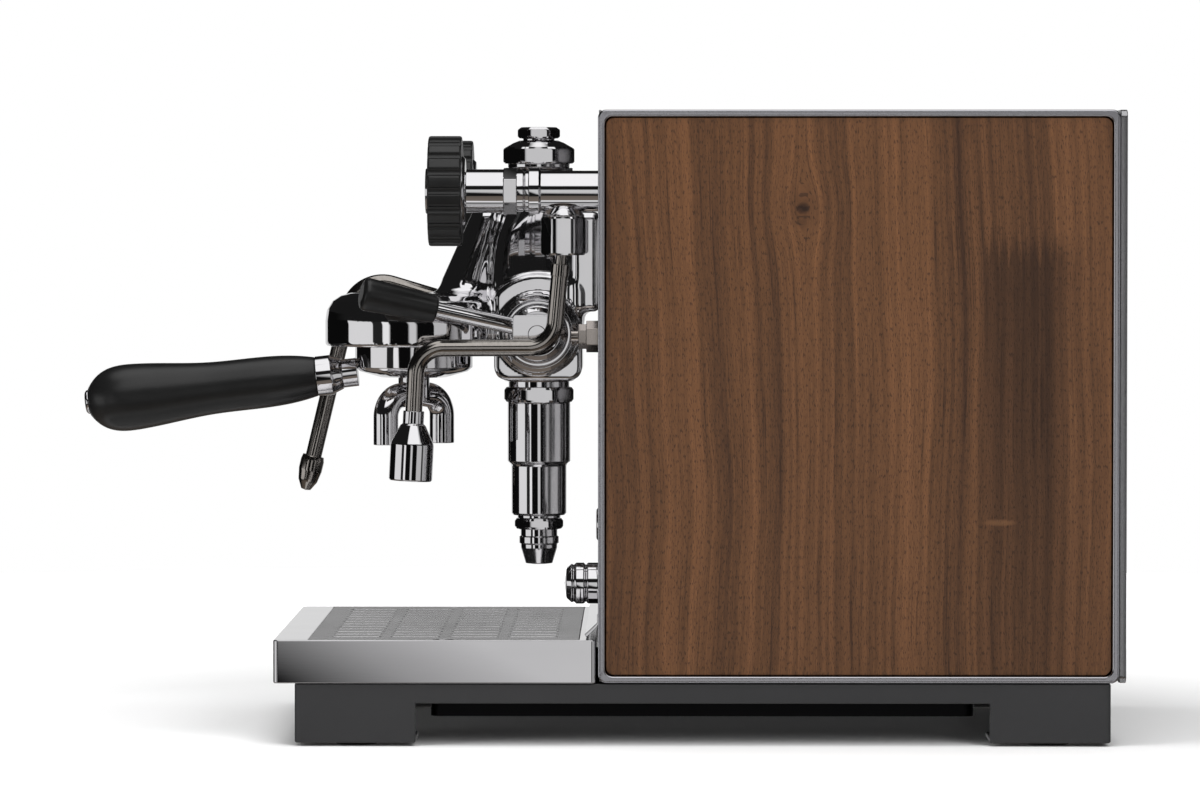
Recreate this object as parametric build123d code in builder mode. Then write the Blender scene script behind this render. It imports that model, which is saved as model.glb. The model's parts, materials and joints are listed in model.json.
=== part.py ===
"""Home espresso machine with a lever group, two steam-type taps and a lift-out water tank.

Millimetres. +Z is up, the front faces -Y and the user's right is +X. The origin is the middle
of the footprint of the whole machine, portafilter included, on the surface that it stands on.
"""
import os
from math import atan2, cos, degrees, radians, sin, sqrt

from build123d import *

# Clearances and fits
shaft_gap = 0.1
ball_gap = 0.2
slide_gap = 0.3
panel_gap = 0.2
bayonet_gap = 0.7

# Cabinet
body_width = 280.0
body_depth = 306.9
body_y = 2.7
body_height = 333.0
plinth_height = 36.5
seam = 0.5
side_thickness = 9.0
rim_width = 4.0
rim_corner = 4.7
side_skin = 1.5
wood_thickness = 6.0
wood_seam = 0.6
sheet = 1.5
rear_depth = 4.1
lid_drop = 0.6

body_z = plinth_height + seam
top_z = body_z + body_height
rear_y = body_y + body_depth
side_rear_y = rear_y - rear_depth
inner_x = body_width / 2 - side_thickness - panel_gap
front_y = body_y + 0.5
front_back_y = front_y + sheet

# Plinth
plinth_inset = 1.5
plinth_front_y = -174.0
plinth_rear_inset = 8.6
plinth_wall = 3.0
foot_length = 70.5
foot_width = 42.0
arch_height = 25.0
pad_height = 2.0
ledge_width = 15.0
pan_sheet = 1.5
pan_bottom_z = 16.0
pan_margin = 8.0

# Drip tray
tray_front_y = -186.3
tray_height = 25.2
tray_wall = 2.0
tray_rim_front = 20.0
tray_rim_rear = 10.0
grate_sheet = 2.0
grate_ledge = 2.5
slot_width = 3.6
slot_length = 29.0
slot_rows = 4
slot_columns = 12

# Group head
column_y = -34.3
bell_y = -110.0
bell_radius = 53.5
bell_bottom_z = 230.0
bell_top_z = 260.0
column_top_z = 337.5
column_bottom_z = 208.6
cam_z = 238.0
boss_radius = 25.0
boss_face_x = 35.0
housing_radius = 36.0
housing_half = 26.5
housing_face_x = 27.0
lever_shaft_radius = 5.0
neck_radius = 8.6

# Portafilter
cup_radius = 35.5
cup_wall = 3.0
cup_bottom_z = 213.0
cup_rim_z = 238.0
lug_height = 4.0
lug_reach = 5.5
lug_half_angle = 16.0
ledge_half_angle = 22.0
ledge_height = 2.7
handle_droop = 6.4
handle_root_y = -159.165
grip_length = 141.0
ferrule_length = 9.7
ferrule_radius = 12.1
end_cap_radius = 7.25
basket_wall = 0.8
spout_turn = 45.0
spout_radius = 7.5
spout_bore = 5.8
spout_spread = 23.0
spout_tip_z = 170.5

# Taps and wands
tap_inset = 37.0
tap_z = 323.0
tap_radius = 12.8
knob_radius = 32.25
knob_thickness = 19.6
knob_front_y = -96.8
stem_radius = 4.0
flute_count = 18
outlet_y = -18.0
outlet_nut_wall = 3.5
outlet_nut_top_z = 308.0
outlet_nut_bottom_z = 285.5
ball_z = 297.0
ball_radius = 8.0
wand_radius = 5.0
wand_neck_radius = 3.3

# Controls
button_x = 75.0
button_z = 126.0
button_radius = 7.0
button_travel = 2.0
selector_z = 91.0
selector_radius = 12.2
selector_length = 21.2
spindle_radius = 3.0
feed_x = 45.0
feed_z = 236.5

# Water tank
tank_width = 150.0
tank_depth = 92.0
tank_wall = 2.5
tank_rear_gap = 8.0
tank_floor_z = 60.0
tank_corner = 8.0
lid_sheet = 2.5

os.makedirs("parts", exist_ok=True)
tap_x = body_width / 2 - tap_inset


def upright(x, y, z=0.0):
    """A plane for outlines turned about a vertical line: x is the radius, y is up."""
    return Plane(origin=(x, y, z), x_dir=(1, 0, 0), z_dir=(0, -1, 0))


def forward(x, y, z):
    """A plane for outlines turned about a line that runs to the front: y grows forward."""
    return Plane(origin=(x, y, z), x_dir=(1, 0, 0), z_dir=(0, 0, -1))


def turned(plane, *points, mode=Mode.ADD):
    """Turn a closed half outline about the plane's y axis."""
    with BuildSketch(plane) as outline:
        with BuildLine():
            Polyline(*points, close=True)
        make_face()
    revolve(outline.sketch, axis=Axis(plane.origin, plane.y_dir), mode=mode)


def rod(plane, radius, length, mode=Mode.ADD):
    """A round bar along the plane's normal."""
    with BuildSketch(plane) as section:
        Circle(radius)
    extrude(section.sketch, amount=length, mode=mode)


def hexagon(plane, width, length, mode=Mode.ADD):
    """A six-sided bar along the plane's normal, with its width across the flats."""
    with BuildSketch(plane) as section:
        RegularPolygon(width / 2, 6, major_radius=False)
    extrude(section.sketch, amount=length, mode=mode)


def block(x0, x1, y0, y1, z0, z1, corner=0.0, mode=Mode.ADD):
    """A block between two corners, with its upright edges rounded."""
    with BuildSketch(Plane.XY.offset(z0)) as section:
        with Locations(((x0 + x1) / 2, (y0 + y1) / 2)):
            if corner > 0:
                RectangleRounded(x1 - x0, y1 - y0, corner)
            else:
                Rectangle(x1 - x0, y1 - y0)
    extrude(section.sketch, amount=z1 - z0, mode=mode)


def toward(start, end):
    """A plane for outlines turned about the line from start to end: y grows along it."""
    line = (Vector(*end) - Vector(*start)).normalized()
    side = line.cross(Vector(0, 0, 1)).normalized()
    return Plane(origin=start, x_dir=side, z_dir=side.cross(line))


def ring_sector(z, inner, outer, middle, half, height):
    """A piece of a flat ring about the bell's axis, between two radii and two angles."""
    with BuildSketch(Plane((0, bell_y, z))) as section:
        with BuildLine():
            far_arc = CenterArc((0, 0), outer, middle - half, 2 * half)
            near_arc = CenterArc((0, 0), inner, middle - half, 2 * half)
            Line(far_arc @ 0, near_arc @ 0)
            Line(far_arc @ 1, near_arc @ 1)
        make_face()
    extrude(section.sketch, amount=height)


def bent_bar(plane, radius, bend, *points, mode=Mode.ADD):
    """A round bar along straight runs in a plane, with a rounded bend at each corner."""
    with BuildLine(plane) as route:
        if len(points) > 2:
            FilletPolyline(*points, radius=bend)
        else:
            Line(*points)
    with BuildSketch(Plane(route.line @ 0, z_dir=route.line % 0)) as section:
        Circle(radius)
    sweep(section.sketch, path=route.line, mode=mode)


def side_sketch_plate(x, thickness, y0, y1, z0, z1, corner, mode=Mode.ADD):
    """A plate that stands in the YZ plane from x to x + thickness, with rounded corners."""
    with BuildSketch(Plane.YZ.offset(x)) as section:
        with Locations(((y0 + y1) / 2, (z0 + z1) / 2)):
            RectangleRounded(y1 - y0, z1 - z0, corner)
    extrude(section.sketch, amount=thickness, mode=mode)


# ---------------------------------------------------------------- plinth
# Pressed frame with four hollow feet; the arches between the feet let air in below.
plinth_x = body_width / 2 - plinth_inset
plinth_rear_y = rear_y - plinth_rear_inset
foot_front_y = plinth_front_y + foot_length
foot_rear_y = plinth_rear_y - foot_length
ledge_z = plinth_height - pan_sheet - 1.5
with BuildPart() as base_frame:
    block(-plinth_x, plinth_x, plinth_front_y, plinth_rear_y, pad_height, plinth_height, 4.0)
    inside_x = plinth_x - plinth_wall
    inside_front = plinth_front_y + plinth_wall
    inside_rear = plinth_rear_y - plinth_wall
    block(-inside_x, inside_x, inside_front, inside_rear,
          pad_height + plinth_wall, plinth_height, 2.0, mode=Mode.SUBTRACT)
    block(-inside_x, inside_x, inside_front, inside_rear, ledge_z - plinth_wall, ledge_z, 2.0)
    block(-inside_x + ledge_width, inside_x - ledge_width, inside_front + ledge_width,
          inside_rear - ledge_width, ledge_z - plinth_wall, ledge_z, mode=Mode.SUBTRACT)
    block(-body_width, body_width, foot_front_y, foot_rear_y, 0, arch_height,
          mode=Mode.SUBTRACT)
    block(-plinth_x + foot_width, plinth_x - foot_width, plinth_front_y - 1, plinth_rear_y + 1,
          0, arch_height, mode=Mode.SUBTRACT)
base_frame.part.label = "base_frame"
export_step(base_frame.part, "parts/base_frame.step")

with BuildPart() as foot_pads:
    for pad_y in (plinth_front_y + foot_length / 2, plinth_rear_y - foot_length / 2):
        for pad_side in (-1, 1):
            pad_x = pad_side * (plinth_x - foot_width / 2)
            rod(Plane((pad_x, pad_y, 0)), 12.0, pad_height)
foot_pads.part.label = "foot_pads"
export_step(foot_pads.part, "parts/foot_pads.step")

# Dished pan on the plinth's ledge; it carries what stands inside the cabinet.
with BuildPart() as floor_pan:
    pan_x = inside_x - panel_gap
    pan_front = inside_front + panel_gap
    pan_rear = inside_rear - panel_gap
    block(-pan_x, pan_x, pan_front, pan_rear, ledge_z, ledge_z + pan_sheet, 2.0)
    dish_side = inside_x - ledge_width - panel_gap
    dish_front = foot_front_y + pan_margin
    dish_rear = foot_rear_y - pan_margin
    block(-dish_side, dish_side, dish_front, dish_rear, pan_bottom_z, ledge_z, 6.0)
    block(-dish_side + pan_sheet, dish_side - pan_sheet, dish_front + pan_sheet,
          dish_rear - pan_sheet, pan_bottom_z + pan_sheet, plinth_height, 5.0, mode=Mode.SUBTRACT)
floor_pan.part.label = "floor_pan"
export_step(floor_pan.part, "parts/floor_pan.step")
pan_top_z = ledge_z + pan_sheet
dish_x = plinth_x - foot_width - pan_margin

# ---------------------------------------------------------------- cabinet
# Each side is a steel frame with a thin back skin; a wooden panel lies in it.
for side, sign in (("left", -1), ("right", 1)):
    inner_face = min(sign * body_width / 2, sign * (body_width / 2 - side_thickness))
    recess_face = sign * (body_width / 2 - side_thickness + side_skin)
    recess_x = min(recess_face, recess_face + sign * side_thickness)
    with BuildPart() as side_frame:
        side_sketch_plate(inner_face, side_thickness, body_y, side_rear_y, body_z, top_z, rim_corner)
        side_sketch_plate(recess_x, side_thickness, body_y + rim_width, side_rear_y - rim_width,
                          body_z + rim_width, top_z - rim_width, rim_corner, mode=Mode.SUBTRACT)
    side_frame.part.label = f"side_frame_{side}"
    export_step(side_frame.part, f"parts/side_frame_{side}.step")
    wood_x = min(recess_face, recess_face + sign * wood_thickness)
    wood_inset = rim_width + wood_seam
    with BuildPart() as wood_panel:
        side_sketch_plate(wood_x, wood_thickness, body_y + wood_inset, side_rear_y - wood_inset,
                          body_z + wood_inset, top_z - wood_inset, rim_corner - wood_seam)
    wood_panel.part.label = f"wood_panel_{side}"
    export_step(wood_panel.part, f"parts/wood_panel_{side}.step")

# Front panel: a bent sheet between the sides, with holes for what passes through it.
flange_half = 30.0
flange_bottom_z = 251.0
flange_top_z = 311.0
pipe_radius = 4.0
with BuildPart() as front_panel:
    block(-inner_x, inner_x, front_y, front_back_y, body_z, top_z)
    block(-inner_x, inner_x, front_y, front_y + 14, body_z, body_z + sheet)
    with BuildSketch(Plane.XZ.offset(-front_y)) as front_holes:
        with Locations((button_x, button_z)):
            Circle(button_radius + 1.0)
        with Locations((button_x, selector_z), (feed_x, feed_z)):
            Circle(spindle_radius + shaft_gap)
        with Locations((-tap_x, tap_z), (tap_x, tap_z)):
            Circle(pipe_radius + 0.5)
        with Locations((0, flange_bottom_z + 12), (0, flange_top_z - 12)):
            Circle(pipe_radius + 0.5)
    extrude(front_holes.sketch, amount=-sheet, mode=Mode.SUBTRACT)
front_panel.part.label = "front_panel"
export_step(front_panel.part, "parts/front_panel.step")

# Splash guard: folded strip screwed to the front panel, its lip over the tray's rear rim.
guard_gap = 5.8
tray_z = plinth_height + slide_gap
tray_top_z = tray_z + tray_height
guard_half = inner_x - guard_gap
lip_z = tray_top_z + 0.8
with BuildPart() as splash_guard:
    with BuildSketch(Plane.YZ.offset(-guard_half)) as guard_section:
        with BuildLine():
            Polyline((front_y, lip_z + 13), (front_y - 1.2, lip_z + 13), (front_y - 1.2, lip_z + 8.2),
                     (front_y - 8.4, lip_z + 1.6), (front_y - 7.6, lip_z), (front_y - 6.2, lip_z + 1.0),
                     (front_y, lip_z + 7.2), close=True)
        make_face()
    extrude(guard_section.sketch, amount=2 * guard_half)
splash_guard.part.label = "splash_guard"
export_step(splash_guard.part, "parts/splash_guard.step")

# Top cover: a sheet between the sides with the tank's opening in it.
tank_half = tank_width / 2
tank_rear_y = side_rear_y - tank_rear_gap
tank_front_y = tank_rear_y - tank_depth
opening_gap = 2.0
cover_z = top_z - 2.0 - sheet
with BuildPart() as top_cover:
    block(-inner_x, inner_x, front_back_y + panel_gap, side_rear_y - panel_gap, cover_z, cover_z + sheet)
    block(-tank_half - opening_gap, tank_half + opening_gap, tank_front_y - opening_gap,
          tank_rear_y + opening_gap, cover_z - 1, top_z, tank_corner + opening_gap,
          mode=Mode.SUBTRACT)
    for fold_side in (-1, 1):
        fold_x = fold_side * (inner_x - sheet / 2)
        block(fold_x - sheet / 2, fold_x + sheet / 2, front_back_y + 20, side_rear_y - 20,
              cover_z - 12, cover_z)
top_cover.part.label = "top_cover"
export_step(top_cover.part, "parts/top_cover.step")

# Rear panel: a shallow pressed pan, screwed on from behind.
inlet_tank_gap = 15.0
inlet_x = -(tank_half + inlet_tank_gap)
inlet_z = 75.0
inlet_half_width = 13.5
inlet_half_height = 10.0
screw_head_radius = 3.6
screw_head_height = 1.2
screw_inset = 14.0
screw_x_far = body_width / 2 - screw_inset
screw_heights = (body_z + 18, (body_z + top_z) / 2, top_z - 18)
screw_points = [(side_sign * screw_x_far, height) for side_sign in (-1, 1) for height in screw_heights]
with BuildPart() as rear_panel:
    with BuildSketch(Plane.XZ.offset(-side_rear_y)) as rear_outline:
        with Locations((0, (body_z + top_z) / 2)):
            RectangleRounded(body_width - 1, body_height, rim_corner)
    extrude(rear_outline.sketch, amount=-rear_depth)
    with BuildSketch(Plane.XZ.offset(-side_rear_y)) as rear_hollow:
        with Locations((0, (body_z + top_z) / 2)):
            Rectangle(2 * (inner_x - 16), body_height - 24)
    extrude(rear_hollow.sketch, amount=-(rear_depth - sheet), mode=Mode.SUBTRACT)
    with BuildSketch(Plane.XZ.offset(-side_rear_y)) as rear_cuts:
        with Locations((inlet_x, inlet_z)):
            Rectangle(2 * inlet_half_width + 0.4, 2 * inlet_half_height + 0.4)
        for vent_row in range(6):
            with Locations((0, 120 + vent_row * 12)):
                SlotOverall(90, 4)
    extrude(rear_cuts.sketch, amount=-rear_depth, mode=Mode.SUBTRACT)
    for screw_x, screw_z in screw_points:
        rod(Plane((screw_x, rear_y, screw_z), z_dir=(0, -1, 0)), screw_head_radius + 0.2,
            screw_head_height, mode=Mode.SUBTRACT)
        rod(Plane((screw_x, rear_y, screw_z), z_dir=(0, -1, 0)), 1.5 + shaft_gap,
            rear_depth + 1, mode=Mode.SUBTRACT)
rear_panel.part.label = "rear_panel"
export_step(rear_panel.part, "parts/rear_panel.step")

with BuildPart() as panel_screws:
    for screw_x, screw_z in screw_points:
        rod(Plane((screw_x, rear_y - 0.1, screw_z), z_dir=(0, -1, 0)), screw_head_radius,
            screw_head_height - 0.1)
        rod(Plane((screw_x, rear_y - screw_head_height, screw_z), z_dir=(0, -1, 0)), 1.5,
            rear_depth - screw_head_height)
        with BuildSketch(Plane.XZ.offset(-(rear_y - 0.1))) as recess:
            with Locations((screw_x, screw_z)):
                RegularPolygon(1.5, 6)
        extrude(recess.sketch, amount=0.8, mode=Mode.SUBTRACT)
panel_screws.part.label = "panel_screws"
export_step(panel_screws.part, "parts/panel_screws.step")

# ---------------------------------------------------------------- drip tray
tray_rear_y = body_y - 1.0
tray_half = body_width / 2
grate_half = tray_half - tray_wall - 1.0
grate_front_y = tray_front_y + tray_rim_front
grate_rear_y = tray_rear_y - tray_rim_rear
recess_z = tray_top_z - grate_sheet - slide_gap
with BuildPart() as drip_tray:
    block(-tray_half, tray_half, tray_front_y, tray_rear_y, tray_z, tray_top_z, 3.0)
    block(-grate_half, grate_half, grate_front_y, grate_rear_y, recess_z, tray_top_z, 2.0,
          mode=Mode.SUBTRACT)
    block(-grate_half + grate_ledge, grate_half - grate_ledge, grate_front_y + grate_ledge,
          grate_rear_y - grate_ledge, tray_z + tray_wall, tray_top_z, 6.0, mode=Mode.SUBTRACT)
    block(-grate_half, grate_half, tray_front_y + tray_wall, grate_front_y - 1.0,
          tray_z, recess_z, 2.0, mode=Mode.SUBTRACT)
drip_tray.part.label = "drip_tray"
export_step(drip_tray.part, "parts/drip_tray.step")

grate_middle_y = (grate_front_y + grate_rear_y) / 2
slot_pitch_x = 2 * (grate_half - 14) / slot_columns
slot_pitch_y = (grate_rear_y - grate_front_y - 20) / slot_rows
with BuildPart() as tray_grate:
    block(-grate_half + slide_gap, grate_half - slide_gap, grate_front_y + slide_gap,
          grate_rear_y - slide_gap, tray_top_z - grate_sheet, tray_top_z, 1.7)
    with BuildSketch(Plane.XY.offset(tray_top_z - grate_sheet)) as grate_cuts:
        with Locations((0, grate_middle_y)):
            with GridLocations(slot_pitch_x, slot_pitch_y, slot_columns, slot_rows):
                SlotOverall(slot_length, slot_width, rotation=90)
        with Locations((-grate_half, grate_middle_y), (grate_half, grate_middle_y)):
            Circle(6.0)
    extrude(grate_cuts.sketch, amount=grate_sheet, mode=Mode.SUBTRACT)
tray_grate.part.label = "tray_grate"
export_step(tray_grate.part, "parts/tray_grate.step")

# ---------------------------------------------------------------- group head
# One casting: column, neck, bell with its bayonet, cam boss and mounting flange.
gasket_seat_z = cup_rim_z + 8.0
lug_z = cup_rim_z - lug_height - 0.8
lug_radius = cup_radius + lug_reach
bell_bore = cup_radius + bayonet_gap
lug_bore = lug_radius + bayonet_gap
lug_floor_z = lug_z - slide_gap
neck_turn = (-55.5, 328.0)
neck_foot = (-88.0, 262.0)
neck_flare = (-76.5, 285.3)
with BuildPart() as group_body:
    with BuildSketch(upright(0, column_y)) as column_outline:
        with BuildLine():
            Polyline((15.7, 308), (15.0, 318), (16.5, 330), (20.5, 334), (20.5, column_top_z),
                     (0, column_top_z), (0, column_bottom_z), (20.5, column_bottom_z),
                     (24.4, 213.0), (24.5, 232.0))
            ThreePointArc((24.5, 232.0), (29.0, 266.0), (15.7, 308.0))
        make_face()
    revolve(column_outline.sketch, axis=Axis((0, column_y, 0), (0, 0, 1)))
    bent_bar(Plane.YZ, neck_radius, 12.0, (column_y, neck_turn[1] - 1), neck_turn, neck_foot)
    turned(toward((0, *neck_flare), (0, *neck_foot)), (0, 0), (neck_radius - 2.0, 0),
           (neck_radius + 2.5, 14), (neck_radius + 9, 24), (0, 24))
    turned(upright(0, bell_y), (0, bell_top_z), (bell_radius - 13, bell_top_z),
           (bell_radius - 5, bell_top_z - 3), (bell_radius - 1, bell_top_z - 9),
           (bell_radius, bell_top_z - 15), (bell_radius, bell_bottom_z), (lug_bore, bell_bottom_z),
           (lug_bore, cup_rim_z), (bell_bore, cup_rim_z), (bell_bore, gasket_seat_z),
           (0, gasket_seat_z))
    for ledge_middle in (0, 180):
        ring_sector(bell_bottom_z, bell_bore, lug_bore + 1, ledge_middle, ledge_half_angle,
                    lug_floor_z - bell_bottom_z)
    rod(Plane((-boss_face_x + 5, column_y, cam_z), z_dir=(1, 0, 0)), boss_radius,
        2 * boss_face_x - 5)
    with BuildSketch(Plane.YZ.offset(-housing_face_x)) as housing:
        with Locations((column_y, cam_z)):
            Circle(housing_radius)
        with Locations((column_y, cam_z)):
            Rectangle(2 * housing_half, 2 * (cam_z - column_bottom_z - 3), mode=Mode.INTERSECT)
        with Locations((column_y, cam_z + housing_radius / 2)):
            Rectangle(2 * housing_half - 12, housing_radius - 5)
    extrude(housing.sketch, amount=2 * housing_face_x)
    block(-flange_half, flange_half, column_y + 18, front_y, flange_bottom_z, flange_top_z, 3.0)
    rod(Plane((-20, column_y, cam_z), z_dir=(1, 0, 0)), lever_shaft_radius + shaft_gap,
        boss_face_x + 25, mode=Mode.SUBTRACT)
    turned(upright(0, bell_y), (0, gasket_seat_z - 20), (bell_bore, gasket_seat_z - 20),
           (bell_bore, gasket_seat_z), (0, gasket_seat_z), mode=Mode.SUBTRACT)
group_body.part.label = "group_body"
export_step(group_body.part, "parts/group_body.step")

cap_hex_z = column_top_z + 3.0
cap_hex_top_z = cap_hex_z + 9.0
cap_top_z = cap_hex_top_z + 4.5
with BuildPart() as group_cap:
    rod(Plane((0, column_y, column_top_z)), 19.0, 3.0)
    hexagon(Plane((0, column_y, cap_hex_z)), 38.0, 9.0)
    turned(upright(0, column_y), (0, cap_hex_top_z), (19.0, cap_hex_top_z),
           (16.0, cap_hex_top_z + 2.5), (11.0, cap_top_z), (0, cap_top_z))
group_cap.part.label = "group_cap"
export_step(group_cap.part, "parts/group_cap.step")

with BuildPart() as cap_plug:
    rod(Plane((0, column_y, cap_top_z)), 9.5, 1.0)
    hexagon(Plane((0, column_y, cap_top_z + 1.0)), 22.6, 7.0)
cap_plug.part.label = "cap_plug"
export_step(cap_plug.part, "parts/cap_plug.step")

gland_length = 5.0
with BuildPart() as cam_gland:
    turned(toward((boss_face_x, column_y, cam_z), (boss_face_x + 1, column_y, cam_z)),
           (lever_shaft_radius + shaft_gap, 0), (17.0, 0), (17.0, 2.5), (14.5, gland_length),
           (lever_shaft_radius + shaft_gap, gland_length))
cam_gland.part.label = "cam_gland"
export_step(cam_gland.part, "parts/cam_gland.step")

chamber_hex_z = column_bottom_z - 12.6
chamber_step_z = chamber_hex_z - 33.0
chamber_bottom_z = chamber_step_z - 35.5
with BuildPart() as infusion_chamber:
    hexagon(Plane((0, column_y, chamber_hex_z)), 37.0, 9.0)
    turned(upright(0, column_y), (3.0, column_bottom_z), (19.0, column_bottom_z),
           (19.0, chamber_step_z), (16.65, chamber_step_z - 4.4), (16.65, chamber_bottom_z),
           (13.0, chamber_bottom_z), (13.0, chamber_bottom_z - 1.8),
           (3.0, chamber_bottom_z - 1.8))
    rod(Plane((0, column_y, column_bottom_z), z_dir=(0, 0, -1)), 3.0,
        column_bottom_z - chamber_bottom_z + 2, mode=Mode.SUBTRACT)
infusion_chamber.part.label = "infusion_chamber"
export_step(infusion_chamber.part, "parts/infusion_chamber.step")

nozzle_top_z = chamber_bottom_z - 1.8
with BuildPart() as drain_nozzle:
    hexagon(Plane((0, column_y, nozzle_top_z), z_dir=(0, 0, -1)), 25.8, 6.7)
    turned(upright(0, column_y, nozzle_top_z), (0, -6.7), (11.1, -6.7), (11.1, -16.3),
           (8.3, -27.7), (0, -27.7))
    rod(Plane((0, column_y, nozzle_top_z), z_dir=(0, 0, -1)), 3.0, 28.0, mode=Mode.SUBTRACT)
drain_nozzle.part.label = "drain_nozzle"
export_step(drain_nozzle.part, "parts/drain_nozzle.step")

# Plug screw square to the neck, on its front side.
neck_run = Vector(0, neck_foot[0] - neck_turn[0], neck_foot[1] - neck_turn[1]).normalized()
neck_front = Vector(0, neck_run.Z, -neck_run.Y)
plug_foot = Vector(0, *neck_flare) - neck_run * 4.5 + neck_front * neck_radius
with BuildPart() as sensor_plug:
    rod(Plane(plug_foot, z_dir=neck_front), 2.2, 2.5)
    rod(Plane(plug_foot + neck_front * 2.5, z_dir=neck_front), 3.2, 5.0)
sensor_plug.part.label = "sensor_plug"
export_step(sensor_plug.part, "parts/sensor_plug.step")

basket_flange = 0.8
gasket_z = cup_rim_z + basket_flange + slide_gap
with BuildPart() as group_gasket:
    turned(upright(0, bell_y), (cup_radius - 6.5, gasket_z), (bell_bore - 0.1, gasket_z),
           (bell_bore - 0.1, gasket_seat_z), (cup_radius - 6.5, gasket_seat_z))
group_gasket.part.label = "group_gasket"
export_step(group_gasket.part, "parts/group_gasket.step")

screen_radius = cup_radius - 7.0
with BuildPart() as shower_screen:
    turned(upright(0, bell_y), (0, gasket_z + 0.4), (screen_radius - 1, gasket_z + 0.4),
           (screen_radius, gasket_z + 1.4), (screen_radius, gasket_seat_z),
           (screen_radius - 1, gasket_seat_z), (screen_radius - 1, gasket_z + 1.4),
           (0, gasket_z + 1.4))
shower_screen.part.label = "shower_screen"
export_step(shower_screen.part, "parts/shower_screen.step")

# ---------------------------------------------------------------- brew lever
hub_x = boss_face_x + gland_length + 1.0
hub_width = 16.0
lever_x = hub_x + hub_width / 2
lever_splay = 26.0
lever_reach = 96.7
lever_rise = 21.8
arm_share = 0.55
arm_start = Vector(lever_x, column_y - 7.0, cam_z + 3.0)
lever_line = Vector(lever_splay, -lever_reach, lever_rise)
arm_end = arm_start + lever_line * arm_share
grip_end = arm_start + lever_line
arm_radius = 4.85
arm_overlap = 20.0
with BuildPart() as lever_shaft:
    rod(Plane((-18, column_y, cam_z), z_dir=(1, 0, 0)), lever_shaft_radius,
        hub_x + hub_width + 18)
lever_shaft.part.label = "lever_shaft"
export_step(lever_shaft.part, "parts/lever_shaft.step")

arm_plane = toward(arm_start, arm_end)
arm_length = (arm_end - arm_start).length
with BuildPart() as lever_arm:
    with BuildSketch(Plane.YZ.offset(hub_x)) as hub_outline:
        with Locations((column_y - 2.75, cam_z + 2.0)):
            RectangleRounded(23.5, 18.6, 1.5)
    extrude(hub_outline.sketch, amount=hub_width)
    rod(Plane(arm_start, z_dir=arm_plane.y_dir), arm_radius, arm_length + arm_overlap)
    rod(Plane((hub_x - 1, column_y, cam_z), z_dir=(1, 0, 0)), lever_shaft_radius + 0.05,
        hub_width + 2, mode=Mode.SUBTRACT)
lever_arm.part.label = "lever_arm"
export_step(lever_arm.part, "parts/lever_arm.step")

lever_grip_run = (grip_end - arm_end).length
with BuildPart() as lever_grip:
    turned(toward(arm_end, grip_end), (arm_radius + 0.05, 0), (7.6, 0), (8.3, 1.5),
           (9.9, lever_grip_run - 3.5), (9.0, lever_grip_run - 1.2), (6.0, lever_grip_run),
           (0, lever_grip_run),
           (0, arm_overlap + 1), (arm_radius + 0.05, arm_overlap + 1))
lever_grip.part.label = "lever_grip"
export_step(lever_grip.part, "parts/lever_grip.step")

# ---------------------------------------------------------------- portafilter
droop = radians(handle_droop)
handle_axis = Vector(0, -cos(droop), -sin(droop))
root_z = 212.4
root = Vector(0, handle_root_y, root_z)
cup_joint_y = bell_y - cup_radius + cup_wall / 2
cup_joint = root - handle_axis * ((cup_joint_y - handle_root_y) / cos(droop))
grip_start = root + handle_axis * ferrule_length
cup_inner = cup_radius - cup_wall
cup_floor_z = cup_bottom_z + cup_wall
tang_radius = 4.0
with BuildPart() as portafilter_body:
    turned(upright(0, bell_y), (spout_bore, cup_bottom_z - 2), (20.0, cup_bottom_z - 2),
           (cup_radius - 3, cup_bottom_z + 1.5), (cup_radius, cup_bottom_z + 4),
           (cup_radius, cup_rim_z), (cup_inner, cup_rim_z), (cup_inner, cup_floor_z + 2),
           (cup_inner - 4, cup_floor_z), (spout_bore, cup_floor_z - 1.5))
    for lug_middle in (0, 180):
        ring_sector(lug_z, cup_radius - 1, lug_radius, lug_middle, lug_half_angle, lug_height)
    rod(Plane(cup_joint, z_dir=handle_axis), 8.6, (root - cup_joint).length)
    turned(toward(root, root + handle_axis), (0, -6), (9.2, -6), (ferrule_radius - 0.8, -0.5),
           (ferrule_radius, 0.5), (ferrule_radius, ferrule_length), (0, ferrule_length))
    rod(Plane(grip_start, z_dir=handle_axis), tang_radius, 40.0)
portafilter_body.part.label = "portafilter_body"
export_step(portafilter_body.part, "parts/portafilter_body.step")

cap_length = 2.4
grip_run = grip_length - cap_length
with BuildPart() as portafilter_grip:
    with BuildSketch(toward(grip_start, grip_start + handle_axis)) as grip_outline:
        with BuildLine():
            Polyline((end_cap_radius + 1, grip_run), (2.0, grip_run), (2.0, 60), (tang_radius + 0.05, 60),
                     (tang_radius + 0.05, 0), (ferrule_radius - 0.4, 0))
            Spline((ferrule_radius - 0.4, 0), (14.4, 15), (15.9, 65), (19.9, 108), (18.6, 126),
                   (end_cap_radius + 1, grip_run))
        make_face()
    revolve(grip_outline.sketch, axis=Axis(grip_start, handle_axis))
portafilter_grip.part.label = "portafilter_grip"
export_step(portafilter_grip.part, "parts/portafilter_grip.step")

cap_foot = grip_start + handle_axis * grip_run
with BuildPart() as grip_cap:
    turned(toward(cap_foot, cap_foot + handle_axis), (0, -18), (1.9, -18), (1.9, 0),
           (end_cap_radius, 0), (end_cap_radius, 1.2), (end_cap_radius - 1.2, cap_length),
           (0, cap_length))
grip_cap.part.label = "grip_cap"
export_step(grip_cap.part, "parts/grip_cap.step")

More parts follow.
